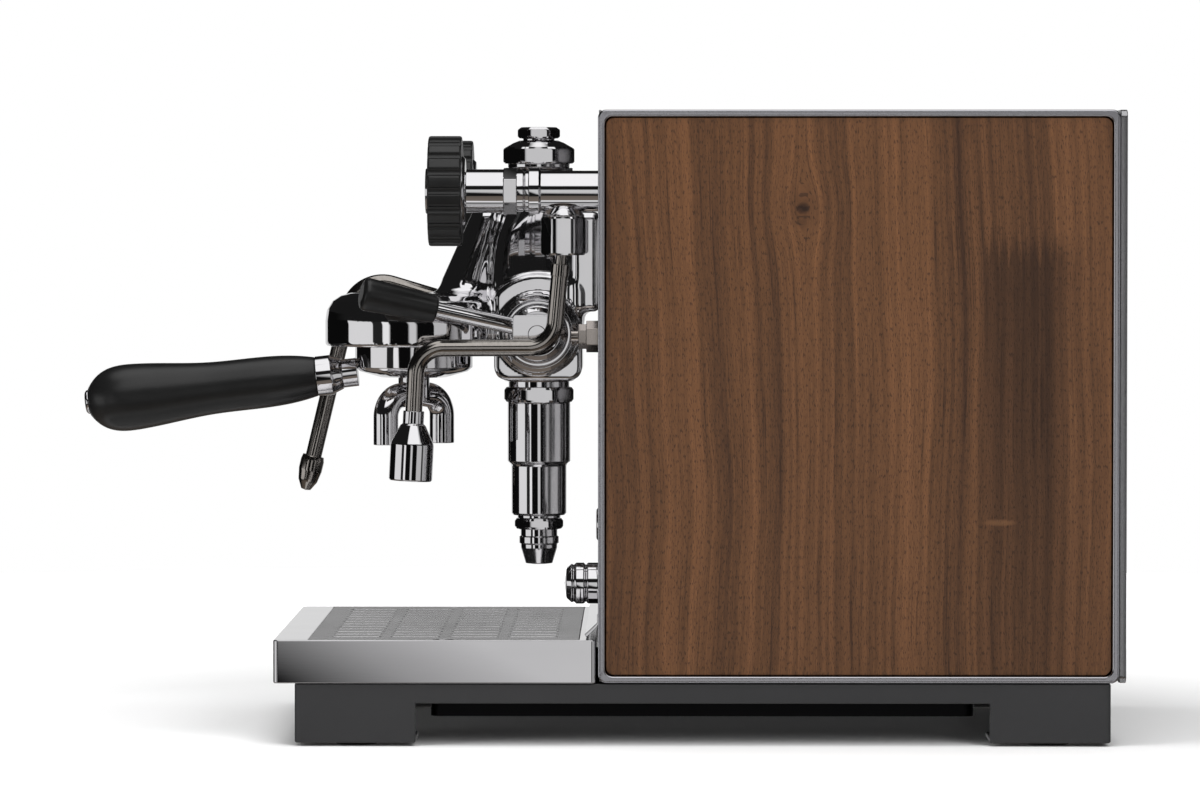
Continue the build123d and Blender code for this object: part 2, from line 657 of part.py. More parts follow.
basket_radius = cup_inner - 0.3
basket_z = cup_floor_z + 2.3
with BuildPart() as filter_basket:
    turned(upright(0, bell_y), (0, basket_z), (basket_radius - 4.5, basket_z),
           (basket_radius, basket_z + 3), (basket_radius, cup_rim_z),
           (cup_radius - 0.5, cup_rim_z), (cup_radius - 0.5, cup_rim_z + basket_flange),
           (basket_radius - basket_wall, cup_rim_z + basket_flange),
           (basket_radius - basket_wall, basket_z + 3.4),
           (basket_radius - 4.8, basket_z + basket_wall), (0, basket_z + basket_wall))
filter_basket.part.label = "filter_basket"
export_step(filter_basket.part, "parts/filter_basket.step")

# Twin spout: a boss under the cup and two tubes that part, drop and end side by side.
spout_top_z = cup_bottom_z - 2
spout_fork_z = spout_top_z - 9.5
with BuildPart() as spout:
    rod(Plane((0, bell_y, spout_fork_z - 5)), 9.5, spout_top_z - spout_fork_z + 5)
    for spout_radius_now, spout_mode in ((spout_radius, Mode.ADD), (spout_bore, Mode.SUBTRACT)):
        for turn in (spout_turn, spout_turn + 180):
            aim = (cos(radians(turn)), -sin(radians(turn)), 0)
            fork_plane = Plane((0, bell_y, 0), x_dir=aim, z_dir=(aim[1], -aim[0], 0))
            bent_bar(fork_plane, spout_radius_now, 13.0, (0, spout_fork_z),
                     (spout_spread, spout_fork_z - 3), (spout_spread, spout_tip_z),
                     mode=spout_mode)
    rod(Plane((0, bell_y, spout_fork_z)), spout_bore, spout_top_z - spout_fork_z,
        mode=Mode.SUBTRACT)
spout.part.label = "spout"
export_step(spout.part, "parts/spout.step")

# ---------------------------------------------------------------- taps
# Lengths run forward from the front panel's face.
outlet_nut_width = 2 * (ball_radius + ball_gap + outlet_nut_wall)
body_run = 34.3
collar_run = 41.3
rings_run = 48.4
hex_run = 56.0
bonnet_run = 78.0
washer_run = 78.4
knob_rear_run = front_y - knob_front_y - knob_thickness
knob_front_run = front_y - knob_front_y
stem_start_run = 24.0
stem_bore = stem_radius + shaft_gap
for side, sign in (("left", -1), ("right", 1)):
    x = sign * tap_x
    tap = forward(x, front_y, tap_z)
    with BuildPart() as valve_body:
        turned(tap, (0, 0), (12.0, 0), (12.0, body_run), (13.6, body_run + 1),
               (13.6, collar_run), (stem_bore, collar_run), (stem_bore, stem_start_run - 1),
               (0, stem_start_run - 1))
        turned(upright(x, outlet_y), (0, outlet_nut_top_z), (12.4, outlet_nut_top_z),
               (12.4, outlet_nut_top_z + 1), (7.5, outlet_nut_top_z + 7.5),
               (7.5, tap_z - 8), (0, tap_z - 8))
    valve_body.part.label = f"valve_body_{side}"
    export_step(valve_body.part, f"parts/valve_body_{side}.step")

    with BuildPart() as valve_bonnet:
        turned(tap, (stem_bore, collar_run), (12.0, collar_run), (12.0, 43.4), (10.8, 44.0),
               (12.0, 44.6), (12.0, rings_run), (11.2, rings_run), (11.2, hex_run),
               (tap_radius, hex_run), (tap_radius, bonnet_run), (stem_bore, bonnet_run))
        hexagon(Plane((x, front_y - rings_run, tap_z), z_dir=(0, -1, 0)), 23.6,
                hex_run - rings_run)
        rod(Plane((x, front_y, tap_z), z_dir=(0, -1, 0)), stem_bore, bonnet_run + 1,
            mode=Mode.SUBTRACT)
    valve_bonnet.part.label = f"valve_bonnet_{side}"
    export_step(valve_bonnet.part, f"parts/valve_bonnet_{side}.step")

    with BuildPart() as knob_stem:
        turned(tap, (0, stem_start_run), (stem_radius, stem_start_run),
               (stem_radius, washer_run), (19.0, washer_run), (20.5, knob_rear_run - 0.4),
               (20.5, knob_rear_run), (stem_radius, knob_rear_run), (stem_radius, knob_front_run),
               (14.0, knob_front_run), (13.0, knob_front_run + 1.8), (0, knob_front_run + 1.8))
    knob_stem.part.label = f"knob_stem_{side}"
    export_step(knob_stem.part, f"parts/knob_stem_{side}.step")

    with BuildPart() as knob:
        turned(tap, (stem_radius + 0.05, knob_rear_run), (knob_radius - 0.8, knob_rear_run),
               (knob_radius, knob_rear_run + 0.8), (knob_radius, knob_front_run - 0.8),
               (knob_radius - 0.8, knob_front_run), (stem_radius + 0.05, knob_front_run))
        with BuildSketch(Plane((x, front_y - knob_rear_run, tap_z), x_dir=(1, 0, 0),
                               z_dir=(0, -1, 0))) as flutes:
            with PolarLocations(knob_radius + 0.9, flute_count):
                Circle(2.6)
        extrude(flutes.sketch, amount=knob_thickness, mode=Mode.SUBTRACT)
    knob.part.label = f"knob_{side}"
    export_step(knob.part, f"parts/knob_{side}.step")

    # Nut that holds the wand's ball: a round socket below, open at the top for the seat.
    with BuildPart() as outlet_nut:
        hexagon(Plane((x, outlet_y, outlet_nut_bottom_z)), outlet_nut_width,
                outlet_nut_top_z - outlet_nut_bottom_z)
        with Locations((x, outlet_y, ball_z)):
            Sphere(ball_radius + ball_gap, mode=Mode.SUBTRACT)
        rod(Plane((x, outlet_y, ball_z)), ball_radius + 0.5, outlet_nut_top_z - ball_z + 1,
            mode=Mode.SUBTRACT)
        turned(upright(x, outlet_y, ball_z), (0, -12), (ball_radius + 1.6, -12),
               (ball_radius - 2.1, -5.6), (0, -5.6),
               mode=Mode.SUBTRACT)
    outlet_nut.part.label = f"outlet_nut_{side}"
    export_step(outlet_nut.part, f"parts/outlet_nut_{side}.step")

    with BuildPart() as wand_seat:
        turned(upright(x, outlet_y, ball_z), (4.2, ball_radius - 0.2),
               (ball_radius + 0.3, 0.44 * ball_radius),
               (ball_radius + 0.3, outlet_nut_top_z - ball_z - slide_gap),
               (4.2, outlet_nut_top_z - ball_z - slide_gap))
    wand_seat.part.label = f"wand_seat_{side}"
    export_step(wand_seat.part, f"parts/wand_seat_{side}.step")

# ---------------------------------------------------------------- wands
# Each is a ball, a thin neck that leaves the nut, a sleeve and a bent tube.
wand_routes = {
    "water_wand": (tap_x, 16.0, ((outlet_y - 6.0, 231.3), (-103.9, 230.9), (-105.9, 191.0))),
    "steam_wand": (-tap_x, 22.0, ((-32.6, 237.9), (-149.9, 272.8), (-177.8, 156.0))),
}
for wand_name, (x, bend, corners) in wand_routes.items():
    ball = (x, outlet_y, ball_z)
    first = (x, *corners[0])
    first_run = (Vector(*first) - Vector(*ball)).normalized()
    sleeve_start = Vector(*ball) + first_run * 17.0
    with BuildPart() as wand:
        with Locations(ball):
            Sphere(ball_radius)
        rod(Plane(ball, z_dir=first_run), wand_neck_radius, 18.0)
        rod(Plane(sleeve_start, z_dir=first_run), wand_radius + 0.4, 7.0)
        bent_bar(Plane.YZ.offset(x), wand_radius, bend,
                 (sleeve_start.Y + first_run.Y * 3, sleeve_start.Z + first_run.Z * 3), *corners)
    wand.part.label = wand_name
    export_step(wand.part, f"parts/{wand_name}.step")

water_corners = wand_routes["water_wand"][2]
water_end = (tap_x, *water_corners[-1])
water_run = Vector(0, water_corners[2][0] - water_corners[1][0],
                   water_corners[2][1] - water_corners[1][1]).normalized()
with BuildPart() as water_diffuser:
    turned(toward(water_end, Vector(*water_end) + water_run), (wand_radius + 0.05, -3),
           (6.2, -3), (6.2, 4.5), (7.5, 5.5), (12.4, 15.5), (12.75, 17), (12.75, 37), (12.2, 38),
           (2.0, 38), (2.0, 1), (wand_radius + 0.05, 0.3))
water_diffuser.part.label = "water_diffuser"
export_step(water_diffuser.part, "parts/water_diffuser.step")

steam_corners = wand_routes["steam_wand"][2]
steam_end = (-tap_x, *steam_corners[-1])
steam_run = Vector(0, steam_corners[2][0] - steam_corners[1][0],
                   steam_corners[2][1] - steam_corners[1][1]).normalized()
with BuildPart() as steam_tip:
    turned(toward(steam_end, Vector(*steam_end) + steam_run), (wand_radius + 0.05, -3),
           (6.6, -3), (7.3, 0), (7.3, 6), (6.0, 13), (3.0, 18.5), (0, 19.2), (0, 0.3),
           (wand_radius + 0.05, 0.3))
steam_tip.part.label = "steam_tip"
export_step(steam_tip.part, "parts/steam_tip.step")

# ---------------------------------------------------------------- controls
bezel_proud = 2.0
barrel_depth = 22.0
button_depth = 8.0
with BuildPart() as button_bezel:
    turned(forward(button_x, front_y, button_z), (0, -barrel_depth), (button_radius + 0.9, -barrel_depth),
           (button_radius + 0.9, 0), (button_radius + 2.5, 0), (button_radius + 2.5, 1.2),
           (button_radius + 1.7, bezel_proud), (button_radius + slide_gap, bezel_proud),
           (button_radius + slide_gap, -button_depth - button_travel - slide_gap),
           (0, -button_depth - button_travel - slide_gap))
button_bezel.part.label = "button_bezel"
export_step(button_bezel.part, "parts/button_bezel.step")

with BuildPart() as power_button:
    turned(forward(button_x, front_y, button_z), (0, -button_depth), (button_radius, -button_depth),
           (button_radius, bezel_proud - 0.6), (button_radius - 0.6, bezel_proud),
           (0, bezel_proud))
power_button.part.label = "power_button"
export_step(power_button.part, "parts/power_button.step")

with BuildPart() as selector_knob:
    turned(forward(button_x, front_y, selector_z), (0, -14.0), (spindle_radius, -14.0),
           (spindle_radius, slide_gap), (selector_radius, slide_gap), (selector_radius, 7.0),
           (selector_radius - 1.4, 8.2), (selector_radius, 9.4), (selector_radius, 14.0),
           (selector_radius - 1.4, 15.4), (selector_radius - 0.6, 16.6),
           (selector_radius - 3.5, 19.8), (0, selector_length))
selector_knob.part.label = "selector_knob"
export_step(selector_knob.part, "parts/selector_knob.step")

with BuildPart() as feed_fitting:
    hexagon(Plane((feed_x, front_y, feed_z), z_dir=(0, -1, 0)), 16.5, 8.3)
    hexagon(Plane((feed_x, front_y - 8.3, feed_z), z_dir=(0, -1, 0)), 13.0, 4.7)
    rod(Plane((feed_x, front_y - 13, feed_z), z_dir=(0, -1, 0)), 3.6, 4.5)
    rod(Plane((feed_x, front_y + 12, feed_z), z_dir=(0, -1, 0)), spindle_radius, 12.0)
feed_fitting.part.label = "feed_fitting"
export_step(feed_fitting.part, "parts/feed_fitting.step")

# ---------------------------------------------------------------- inside the cabinet
boiler_y = 95.0
boiler_z = 255.0
boiler_radius = 60.0
boiler_end_gap = 22.8
boiler_half = inner_x - boiler_end_gap
boiler_wall = 1.5
leg_inset = 33.5
leg_x = dish_x - leg_inset
leg_sheet = 3.0
pan_floor_z = pan_bottom_z + pan_sheet
with BuildPart() as boiler:
    for leg_side in (-1, 1):
        leg_face = leg_side * leg_x - leg_sheet / 2
        block(leg_face, leg_face + leg_sheet, boiler_y - 25, boiler_y + 25, pan_floor_z, boiler_z)
        block(leg_side * leg_x - 10, leg_side * leg_x + 10, boiler_y - 25, boiler_y + 25,
              pan_floor_z, pan_floor_z + leg_sheet)
    rod(Plane((-boiler_half, boiler_y, boiler_z), z_dir=(1, 0, 0)), boiler_radius - boiler_wall,
        2 * boiler_half, mode=Mode.SUBTRACT)
    turned(toward((-boiler_half, boiler_y, boiler_z), (0, boiler_y, boiler_z)),
           (14, 0), (boiler_radius - 6, 0), (boiler_radius, 6), (boiler_radius, 2 * boiler_half - 6),
           (boiler_radius - 6, 2 * boiler_half), (0, 2 * boiler_half),
           (0, 2 * boiler_half - boiler_wall),
           (boiler_radius - 6, 2 * boiler_half - boiler_wall),
           (boiler_radius - boiler_wall, 2 * boiler_half - 6), (boiler_radius - boiler_wall, 6),
           (boiler_radius - 6, boiler_wall), (14, boiler_wall))
boiler.part.label = "boiler"
export_step(boiler.part, "parts/boiler.step")

pipe_gap = 0.2
with BuildPart() as pipes:
    for pipe_z in (flange_bottom_z + 12, flange_top_z - 12):
        edge = abs(pipe_z - boiler_z) - pipe_radius
        reach = boiler_y - sqrt(boiler_radius ** 2 - edge ** 2)
        rod(Plane((0, front_y, pipe_z), z_dir=(0, 1, 0)), pipe_radius, reach - front_y - pipe_gap)
    for pipe_x in (-tap_x, tap_x):
        bent_bar(Plane.YZ.offset(pipe_x), pipe_radius, 6.0, (front_y, tap_z), (boiler_y, tap_z),
                 (boiler_y, boiler_z + boiler_radius + pipe_gap))
pipes.part.label = "pipes"
export_step(pipes.part, "parts/pipes.step")

pump_x = 18.0
pump_z = 48.0
with BuildPart() as pump:
    turned(forward(pump_x, 190, pump_z), (0, 0), (7, 0), (7, 14), (22, 14), (22, 74), (15, 74),
           (15, 96), (6, 96), (6, 108), (0, 108))
    block(pump_x - 24, pump_x + 24, 126, 166, pan_floor_z, pump_z - 8)
pump.part.label = "pump"
export_step(pump.part, "parts/pump.step")

with BuildPart() as control_box:
    block(6.5 - dish_x, -18, 128, 192, pan_floor_z, pan_floor_z + 58, 3.0)
control_box.part.label = "control_box"
export_step(control_box.part, "parts/control_box.step")

tank_base_z = tank_floor_z - slide_gap
with BuildPart() as tank_base:
    base_half = tank_half - 6
    base_front_y = foot_rear_y - pan_margin + 3
    block(-base_half, base_half, base_front_y, tank_rear_y - 4, pan_top_z, tank_base_z, 4.0)
    block(-base_half + 2, base_half - 2, base_front_y + 2, tank_rear_y - 6, pan_top_z,
          tank_base_z - 2.5, 3.0, mode=Mode.SUBTRACT)
tank_base.part.label = "tank_base"
export_step(tank_base.part, "parts/tank_base.step")

# ---------------------------------------------------------------- water tank and lid
lid_top_z = top_z - lid_drop
lid_z = lid_top_z - lid_sheet
tank_top_z = lid_z - slide_gap
with BuildPart() as water_tank:
    block(-tank_half, tank_half, tank_front_y, tank_rear_y, tank_floor_z, tank_top_z, tank_corner)
    block(-tank_half + tank_wall, tank_half - tank_wall, tank_front_y + tank_wall,
          tank_rear_y - tank_wall, tank_floor_z + tank_wall, tank_top_z,
          tank_corner - tank_wall, mode=Mode.SUBTRACT)
water_tank.part.label = "water_tank"
export_step(water_tank.part, "parts/water_tank.step")

tab_half = 30.0
tab_rear_y = rear_y - 1.2
tab_z = top_z + slide_gap
lip_gap = 0.6
with BuildPart() as tank_lid:
    block(-tank_half, tank_half, tank_front_y, tank_rear_y, lid_z, lid_top_z, tank_corner)
    lip_inset = tank_wall + lip_gap
    block(-tank_half + lip_inset, tank_half - lip_inset, tank_front_y + lip_inset,
          tank_rear_y - lip_inset, lid_z - 5, lid_z, tank_corner - lip_inset)
    block(-tank_half + lip_inset + 2, tank_half - lip_inset - 2, tank_front_y + lip_inset + 2,
          tank_rear_y - lip_inset - 2, lid_z - 5, lid_z, tank_corner - lip_inset - 2,
          mode=Mode.SUBTRACT)
    block(-tab_half, tab_half, tank_rear_y - 6, tank_rear_y - 3, lid_top_z, tab_z)
    block(-tab_half, tab_half, tank_rear_y - 6, tab_rear_y, tab_z, tab_z + 1.2)
tank_lid.part.label = "tank_lid"
export_step(tank_lid.part, "parts/tank_lid.step")

# Socket for a mains lead, held in the rear panel by its inner flange.
socket_front_y = rear_y - 24
socket_face_y = rear_y - 0.2
pin_end_y = rear_y - 4.5
with BuildPart() as power_inlet:
    block(inlet_x - inlet_half_width, inlet_x + inlet_half_width, socket_front_y, socket_face_y,
          inlet_z - inlet_half_height, inlet_z + inlet_half_height)
    block(inlet_x - inlet_half_width - 4, inlet_x + inlet_half_width + 4, rear_y - 4.0,
          rear_y - sheet - 0.1, inlet_z - inlet_half_height - 4, inlet_z + inlet_half_height + 4)
    block(inlet_x - inlet_half_width + 2, inlet_x + inlet_half_width - 2, rear_y - 17,
          rear_y + 1, inlet_z - inlet_half_height + 2, inlet_z + inlet_half_height - 2,
          mode=Mode.SUBTRACT)
    for pin_x, pin_z in ((-7, -2), (0, 2), (7, -2)):
        block(inlet_x + pin_x - 1, inlet_x + pin_x + 1, rear_y - 18, pin_end_y,
              inlet_z + pin_z - 2, inlet_z + pin_z + 2)
power_inlet.part.label = "power_inlet"
export_step(power_inlet.part, "parts/power_inlet.step")
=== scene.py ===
"""Looks of the espresso machine: every visible piece and finish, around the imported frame."""
import json
from math import cos, pi, radians, sin, tan

import bmesh
import bpy
import numpy as np
from mathutils import Matrix, Vector


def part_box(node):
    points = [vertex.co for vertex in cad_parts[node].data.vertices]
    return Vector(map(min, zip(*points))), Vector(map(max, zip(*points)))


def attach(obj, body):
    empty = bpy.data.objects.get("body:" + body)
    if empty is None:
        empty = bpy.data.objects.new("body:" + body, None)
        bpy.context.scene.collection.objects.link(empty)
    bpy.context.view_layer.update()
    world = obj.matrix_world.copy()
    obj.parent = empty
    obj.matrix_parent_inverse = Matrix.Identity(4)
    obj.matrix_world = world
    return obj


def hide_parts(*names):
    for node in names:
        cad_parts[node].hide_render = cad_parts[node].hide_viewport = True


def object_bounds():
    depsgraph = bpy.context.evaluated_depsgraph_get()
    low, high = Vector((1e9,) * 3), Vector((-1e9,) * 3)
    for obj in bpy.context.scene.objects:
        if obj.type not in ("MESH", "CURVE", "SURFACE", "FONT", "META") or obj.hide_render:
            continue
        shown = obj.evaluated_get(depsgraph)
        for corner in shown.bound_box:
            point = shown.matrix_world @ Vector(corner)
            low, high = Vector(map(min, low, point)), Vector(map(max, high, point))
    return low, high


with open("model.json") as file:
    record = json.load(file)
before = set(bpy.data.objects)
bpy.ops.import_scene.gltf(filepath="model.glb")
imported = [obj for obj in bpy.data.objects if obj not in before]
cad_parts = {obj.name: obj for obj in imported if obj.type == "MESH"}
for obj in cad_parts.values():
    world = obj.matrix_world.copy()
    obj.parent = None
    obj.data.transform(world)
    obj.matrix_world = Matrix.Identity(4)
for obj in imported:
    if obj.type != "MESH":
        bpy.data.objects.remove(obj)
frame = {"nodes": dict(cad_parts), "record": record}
cad_low, cad_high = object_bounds()
nodes = frame["nodes"]

# ---- Camera ------------------------------------------------------------------------------
# A long lens near the height of the machine's top, square to the user's right side. It
# stands a little behind the middle of the machine, and looks slightly forward and down.
lens_mm = 166.6
camera_distance = 3.22
camera_height = 0.309
camera_y = 0.0329
aim_forward, aim_down = 0.03025, 0.111925
camera_data = bpy.data.cameras.new("side_camera")
camera_data.lens = lens_mm
camera_data.sensor_width = 36.0
camera = bpy.data.objects.new("side_camera", camera_data)
bpy.context.scene.collection.objects.link(camera)
camera.location = (cad_high.x + camera_distance, camera_y, camera_height)
aim = Vector((0, camera_y - aim_forward, camera_height - aim_down))
camera.rotation_mode = "QUATERNION"
camera.rotation_quaternion = (aim - camera.location).to_track_quat("-Z", "Y")
bpy.context.scene.camera = camera
bpy.context.scene.view_settings.view_transform = "Standard"

# ---- Studio ------------------------------------------------------------------------------
# A white room as the eye sees it. Only polished metal mirrors the tall grey and black
# boards that stand round it, as bands. Three soft boxes light the machine.
world = bpy.data.worlds.new("white_room")
bpy.context.scene.world = world
world.use_nodes = True
room = world.node_tree
room.nodes.clear()


class Value:
    """A number that varies over a surface; arithmetic on it adds Math nodes."""

    def __init__(self, tree, socket):
        self.tree = tree
        self.socket = socket

    def math(self, operation, *terms):
        step = self.tree.nodes.new("ShaderNodeMath")
        step.operation = operation
        for slot, term in zip(step.inputs, terms):
            if isinstance(term, Value):
                self.tree.links.new(term.socket, slot)
            else:
                slot.default_value = term
        return Value(self.tree, step.outputs[0])

    def __add__(self, other):
        return self.math("ADD", self, other)

    def __radd__(self, other):
        return self.math("ADD", other, self)

    def __sub__(self, other):
        return self.math("SUBTRACT", self, other)

    def __rsub__(self, other):
        return self.math("SUBTRACT", other, self)

    def __mul__(self, other):
        return self.math("MULTIPLY", self, other)

    def __rmul__(self, other):
        return self.math("MULTIPLY", other, self)

    def __truediv__(self, other):
        return self.math("DIVIDE", self, other)

    def __gt__(self, other):
        return self.math("GREATER_THAN", self, other)

    def __pow__(self, other):
        return self.math("POWER", self, other)

    def clipped(self):
        return self.math("MINIMUM", self.math("MAXIMUM", self, 0.0), 1.0)


def add_node(tree, kind, settings=None, sockets=None, output=0):
    """Add a node, make its settings, then give its sockets values or links."""
    made = tree.nodes.new(kind)
    for key, setting in (settings or {}).items():
        if key == "stops":
            stops = made.color_ramp.elements
            stops.remove(stops[-1])
            stops[0].position = setting[0][0]
            stops[0].color = (*setting[0][1], 1.0)
            for place, colour in setting[1:]:
                stops.new(place).color = (*colour, 1.0)
        else:
            setattr(made, key, setting)
    for key, value in (sockets or {}).items():
        if isinstance(value, Value):
            tree.links.new(value.socket, made.inputs[key])
        else:
            made.inputs[key].default_value = value
    return Value(tree, made.outputs[output])


direction = add_node(room, "ShaderNodeTexCoord", output=0)
split = room.nodes.new("ShaderNodeSeparateXYZ")
room.links.new(direction.socket, split.inputs[0])
dir_x, dir_y, dir_z = (Value(room, split.outputs[axis]) for axis in range(3))
# Where a board stands round the room, as a share of a turn. The boards lean a little.
board_lean = 0.05
turn = dir_x.math("ARCTAN2", dir_y, dir_x) / (2 * pi) + 0.5 + board_lean * (dir_z + 0.08)


def board_stops(boards, fade):
    """Ramp stops for (from degrees, to degrees, grey level) boards round the room."""
    stops = []
    for start_degrees, end_degrees, level in boards:
        stops += [(start_degrees / 360 + 0.5 + fade, (level,) * 3),
                  (end_degrees / 360 + 0.5 - fade, (level,) * 3)]
    return stops


front_boards = [(-180, -150, 0.75), (-150, -91, 0.004), (-91, -51, 0.88), (-51, -37, 0.02),
                (-37, -28, 1.05), (-28, -2.85, 0.004), (-2.85, 7, 0.72), (7, 30, 0.004)]
rear_boards = [(30, 56, 0.60), (56, 65, 0.04), (65, 88, 0.45), (88, 99, 0.006),
               (99, 123, 0.06), (123, 133, 0.01), (133, 150, 0.16), (150, 180, 0.6)]
rear_from_degrees = 30
boards_front = add_node(room, "ShaderNodeValToRGB",
                        {"stops": board_stops(front_boards, 0.0008)}, {"Fac": turn})
boards_rear = add_node(room, "ShaderNodeValToRGB",
                       {"stops": board_stops(rear_boards, 0.0012)}, {"Fac": turn})
is_rear = turn > 0.5 + rear_from_degrees / 360
around = add_node(room, "ShaderNodeMix", {"data_type": "RGBA"},
                  {0: is_rear, 6: boards_front, 7: boards_rear}, output=2)
# Above and below the boards the room is a stack of greys: from a pale floor with a dark
# line to a black ceiling, which has a white patch overhead and another over the front.
above = dir_z * 0.5 + 0.5
stack = add_node(room, "ShaderNodeValToRGB", {"stops": [
    (0.000, (0.50, 0.50, 0.50)), (0.030, (0.45, 0.45, 0.45)),
    (0.036, (0.02, 0.02, 0.02)), (0.052, (0.02, 0.02, 0.02)),
    (0.060, (0.95, 0.95, 0.95)), (0.090, (0.95, 0.95, 0.95)),
    (0.105, (0.20, 0.17, 0.145)), (0.265, (0.15, 0.125, 0.105)),
    (0.285, (0.012, 0.012, 0.012))]}, {"Fac": above})
board_foot, board_top, board_fade = -0.27, 0.11, 24.0
off_level = (((dir_z - board_top) * board_fade).clipped()
             + ((board_foot - dir_z) * board_fade).clipped()).clipped()
room_colour = add_node(room, "ShaderNodeMix", {"data_type": "RGBA"},
                       {0: off_level, 6: around, 7: stack}, output=2)
zenith = ((dir_z - 0.86) * 12.0).clipped()
awning = (((dir_z - 0.44) * 14.0).clipped() * ((turn - 0.462) * 60.0).clipped()
          * ((0.715 - turn) * 30.0).clipped())
overhead = zenith.math("MAXIMUM", zenith, awning)
room_colour = add_node(room, "ShaderNodeMix", {"data_type": "RGBA"},
                       {0: overhead, 6: room_colour, 7: (1.2, 1.2, 1.2, 1.0)}, output=2)
seen_directly = add_node(room, "ShaderNodeLightPath", output=0)
room_colour = add_node(room, "ShaderNodeMix", {"data_type": "RGBA"},
                       {0: seen_directly, 6: room_colour, 7: (1.0, 1.0, 1.0, 1.0)}, output=2)
backdrop = add_node(room, "ShaderNodeBackground", None, {"Color": room_colour, "Strength": 1.0})
room_out = room.nodes.new("ShaderNodeOutputWorld")
room.links.new(backdrop.socket, room_out.inputs[0])


def soft_light(name, place, aim, width, height, watts):
    """A rectangular soft box that faces a point."""
    data = bpy.data.lights.new(name, "AREA")
    data.shape = "RECTANGLE"
    data.size = width
    data.size_y = height
    data.energy = watts
    lamp = bpy.data.objects.new(name, data)
    bpy.context.scene.collection.objects.link(lamp)
    lamp.location = place
    lamp.rotation_mode = "QUATERNION"
    lamp.rotation_quaternion = (Vector(aim) - Vector(place)).to_track_quat("-Z", "Y")
    lamp.visible_glossy = False


middle_of_machine = (0, 0, 0.18)
soft_light("top_box", (0.3, -0.1, 1.9), middle_of_machine, 1.8, 1.6, 34)
soft_light("side_box", (1.9, 1.1, 1.1), middle_of_machine, 0.9, 1.4, 26)
soft_light("front_box", (1.3, -1.7, 0.9), middle_of_machine, 0.8, 1.4, 22)

# ---- Worktop -----------------------------------------------------------------------------
# A plain pale round top. It is lit up a little towards its rim, so that it runs into the
# white room with no line.
floor_mesh = bpy.data.meshes.new("worktop")
floor_radius, floor_corners = 1.5, 96
rim_angles = [2 * pi * corner / floor_corners for corner in range(floor_corners)]
rim_points = [(floor_radius * cos(angle), floor_radius * sin(angle), 0) for angle in rim_angles]
floor_mesh.from_pydata(rim_points, [], [list(range(floor_corners))])
worktop = bpy.data.objects.new("worktop", floor_mesh)
bpy.context.scene.collection.objects.link(worktop)


class Finish:
    """A material: a Principled shader whose sockets take numbers, colours or Values."""

    def __init__(self, name, **uniform):
        self.material = bpy.data.materials.new(name)
        self.material.use_nodes = True
        self.tree = self.material.node_tree
        self.shader = self.tree.nodes["Principled BSDF"]
        for socket, value in uniform.items():
            self.shader.inputs[socket.replace("_", " ")].default_value = value

    def node(self, kind, settings=None, sockets=None, output=0):
        return add_node(self.tree, kind, settings, sockets, output)

    def place(self, scale=(1.0, 1.0, 1.0)):
        """Where a point lies on the object, in metres times a scale for each axis."""
        spot = self.node("ShaderNodeTexCoord", output=3)
        return self.node("ShaderNodeMapping", {"vector_type": "POINT"},
                         {"Vector": spot, "Scale": scale})

    def noise(self, scale, stretch=(1.0, 1.0, 1.0), detail=3.0, roughness=0.55):
        """Noise that is this fine, and drawn out along the axes of small stretch."""
        return self.node("ShaderNodeTexNoise", None,
                         {"Vector": self.place(stretch), "Scale": scale, "Detail": detail,
                          "Roughness": roughness})

    def blend(self, factor, first, second):
        """Mix two colours by a Value."""
        return self.node("ShaderNodeMix", {"data_type": "RGBA"},
                         {0: factor, 6: first, 7: second}, output=2)

    def drive(self, socket, value):
        self.tree.links.new(value.socket, self.shader.inputs[socket])

    def bump(self, height, strength, distance):
        """Raise the surface by a Value, in metres at full height."""
        self.drive("Normal", self.node("ShaderNodeBump", None, {
            "Height": height, "Strength": strength, "Distance": distance}))


def srgb(red, green, blue):
    """A colour given as 0 to 255, as linear numbers."""
    levels = [channel / 255 for channel in (red, green, blue)]
    return (*[level / 12.92 if level < 0.04045 else ((level + 0.055) / 1.055) ** 2.4
              for level in levels], 1.0)


paper_white = Finish("pale_worktop", Base_Color=srgb(240, 240, 240), Emission_Strength=1.0)
paper_white.drive("Roughness", 0.55 + 0.1 * paper_white.noise(3.0))
floor_spot = paper_white.tree.nodes.new("ShaderNodeSeparateXYZ")
paper_white.tree.links.new(paper_white.place().socket, floor_spot.inputs[0])
floor_x, floor_y = (Value(paper_white.tree, floor_spot.outputs[axis]) for axis in (0, 1))
from_middle = (floor_x * floor_x + floor_y * floor_y) ** 0.5
glow_from, glow_rise = 0.38, 1.1
glow = ((from_middle - glow_from) * glow_rise).clipped() * 0.98 + 0.01
paper_white.drive("Emission Color",
                  paper_white.blend(glow, (0.0, 0.0, 0.0, 1.0), (1.0, 1.0, 1.0, 1.0)))
# Polished metal mirrors the room's boards straight through the top.
clear = paper_white.node("ShaderNodeBsdfTransparent")
by_mirror = paper_white.node("ShaderNodeLightPath", output=3)
painted = Value(paper_white.tree, paper_white.shader.outputs[0])
both = paper_white.node("ShaderNodeMixShader", None, {0: by_mirror, 1: painted, 2: clear})
paper_white.tree.links.new(both.socket, paper_white.tree.nodes["Material Output"].inputs[0])
floor_mesh.materials.append(paper_white.material)


# ---- Plinth ------------------------------------------------------------------------------
# A folded steel base with an arch cut in each side, powder coated dark grey. The machine's
# cabinet is screwed down on it, and four rubber pads are pressed under its corners.
body_of = {node_name: body for body, members in frame["record"]["behaviour"]["bodies"].items()
           for node_name in members}


def wear(finish, *node_names):
    """Give carried-over nodes a finish."""
    for node_name in node_names:
        for slot in nodes[node_name].material_slots:
            slot.material = finish.material


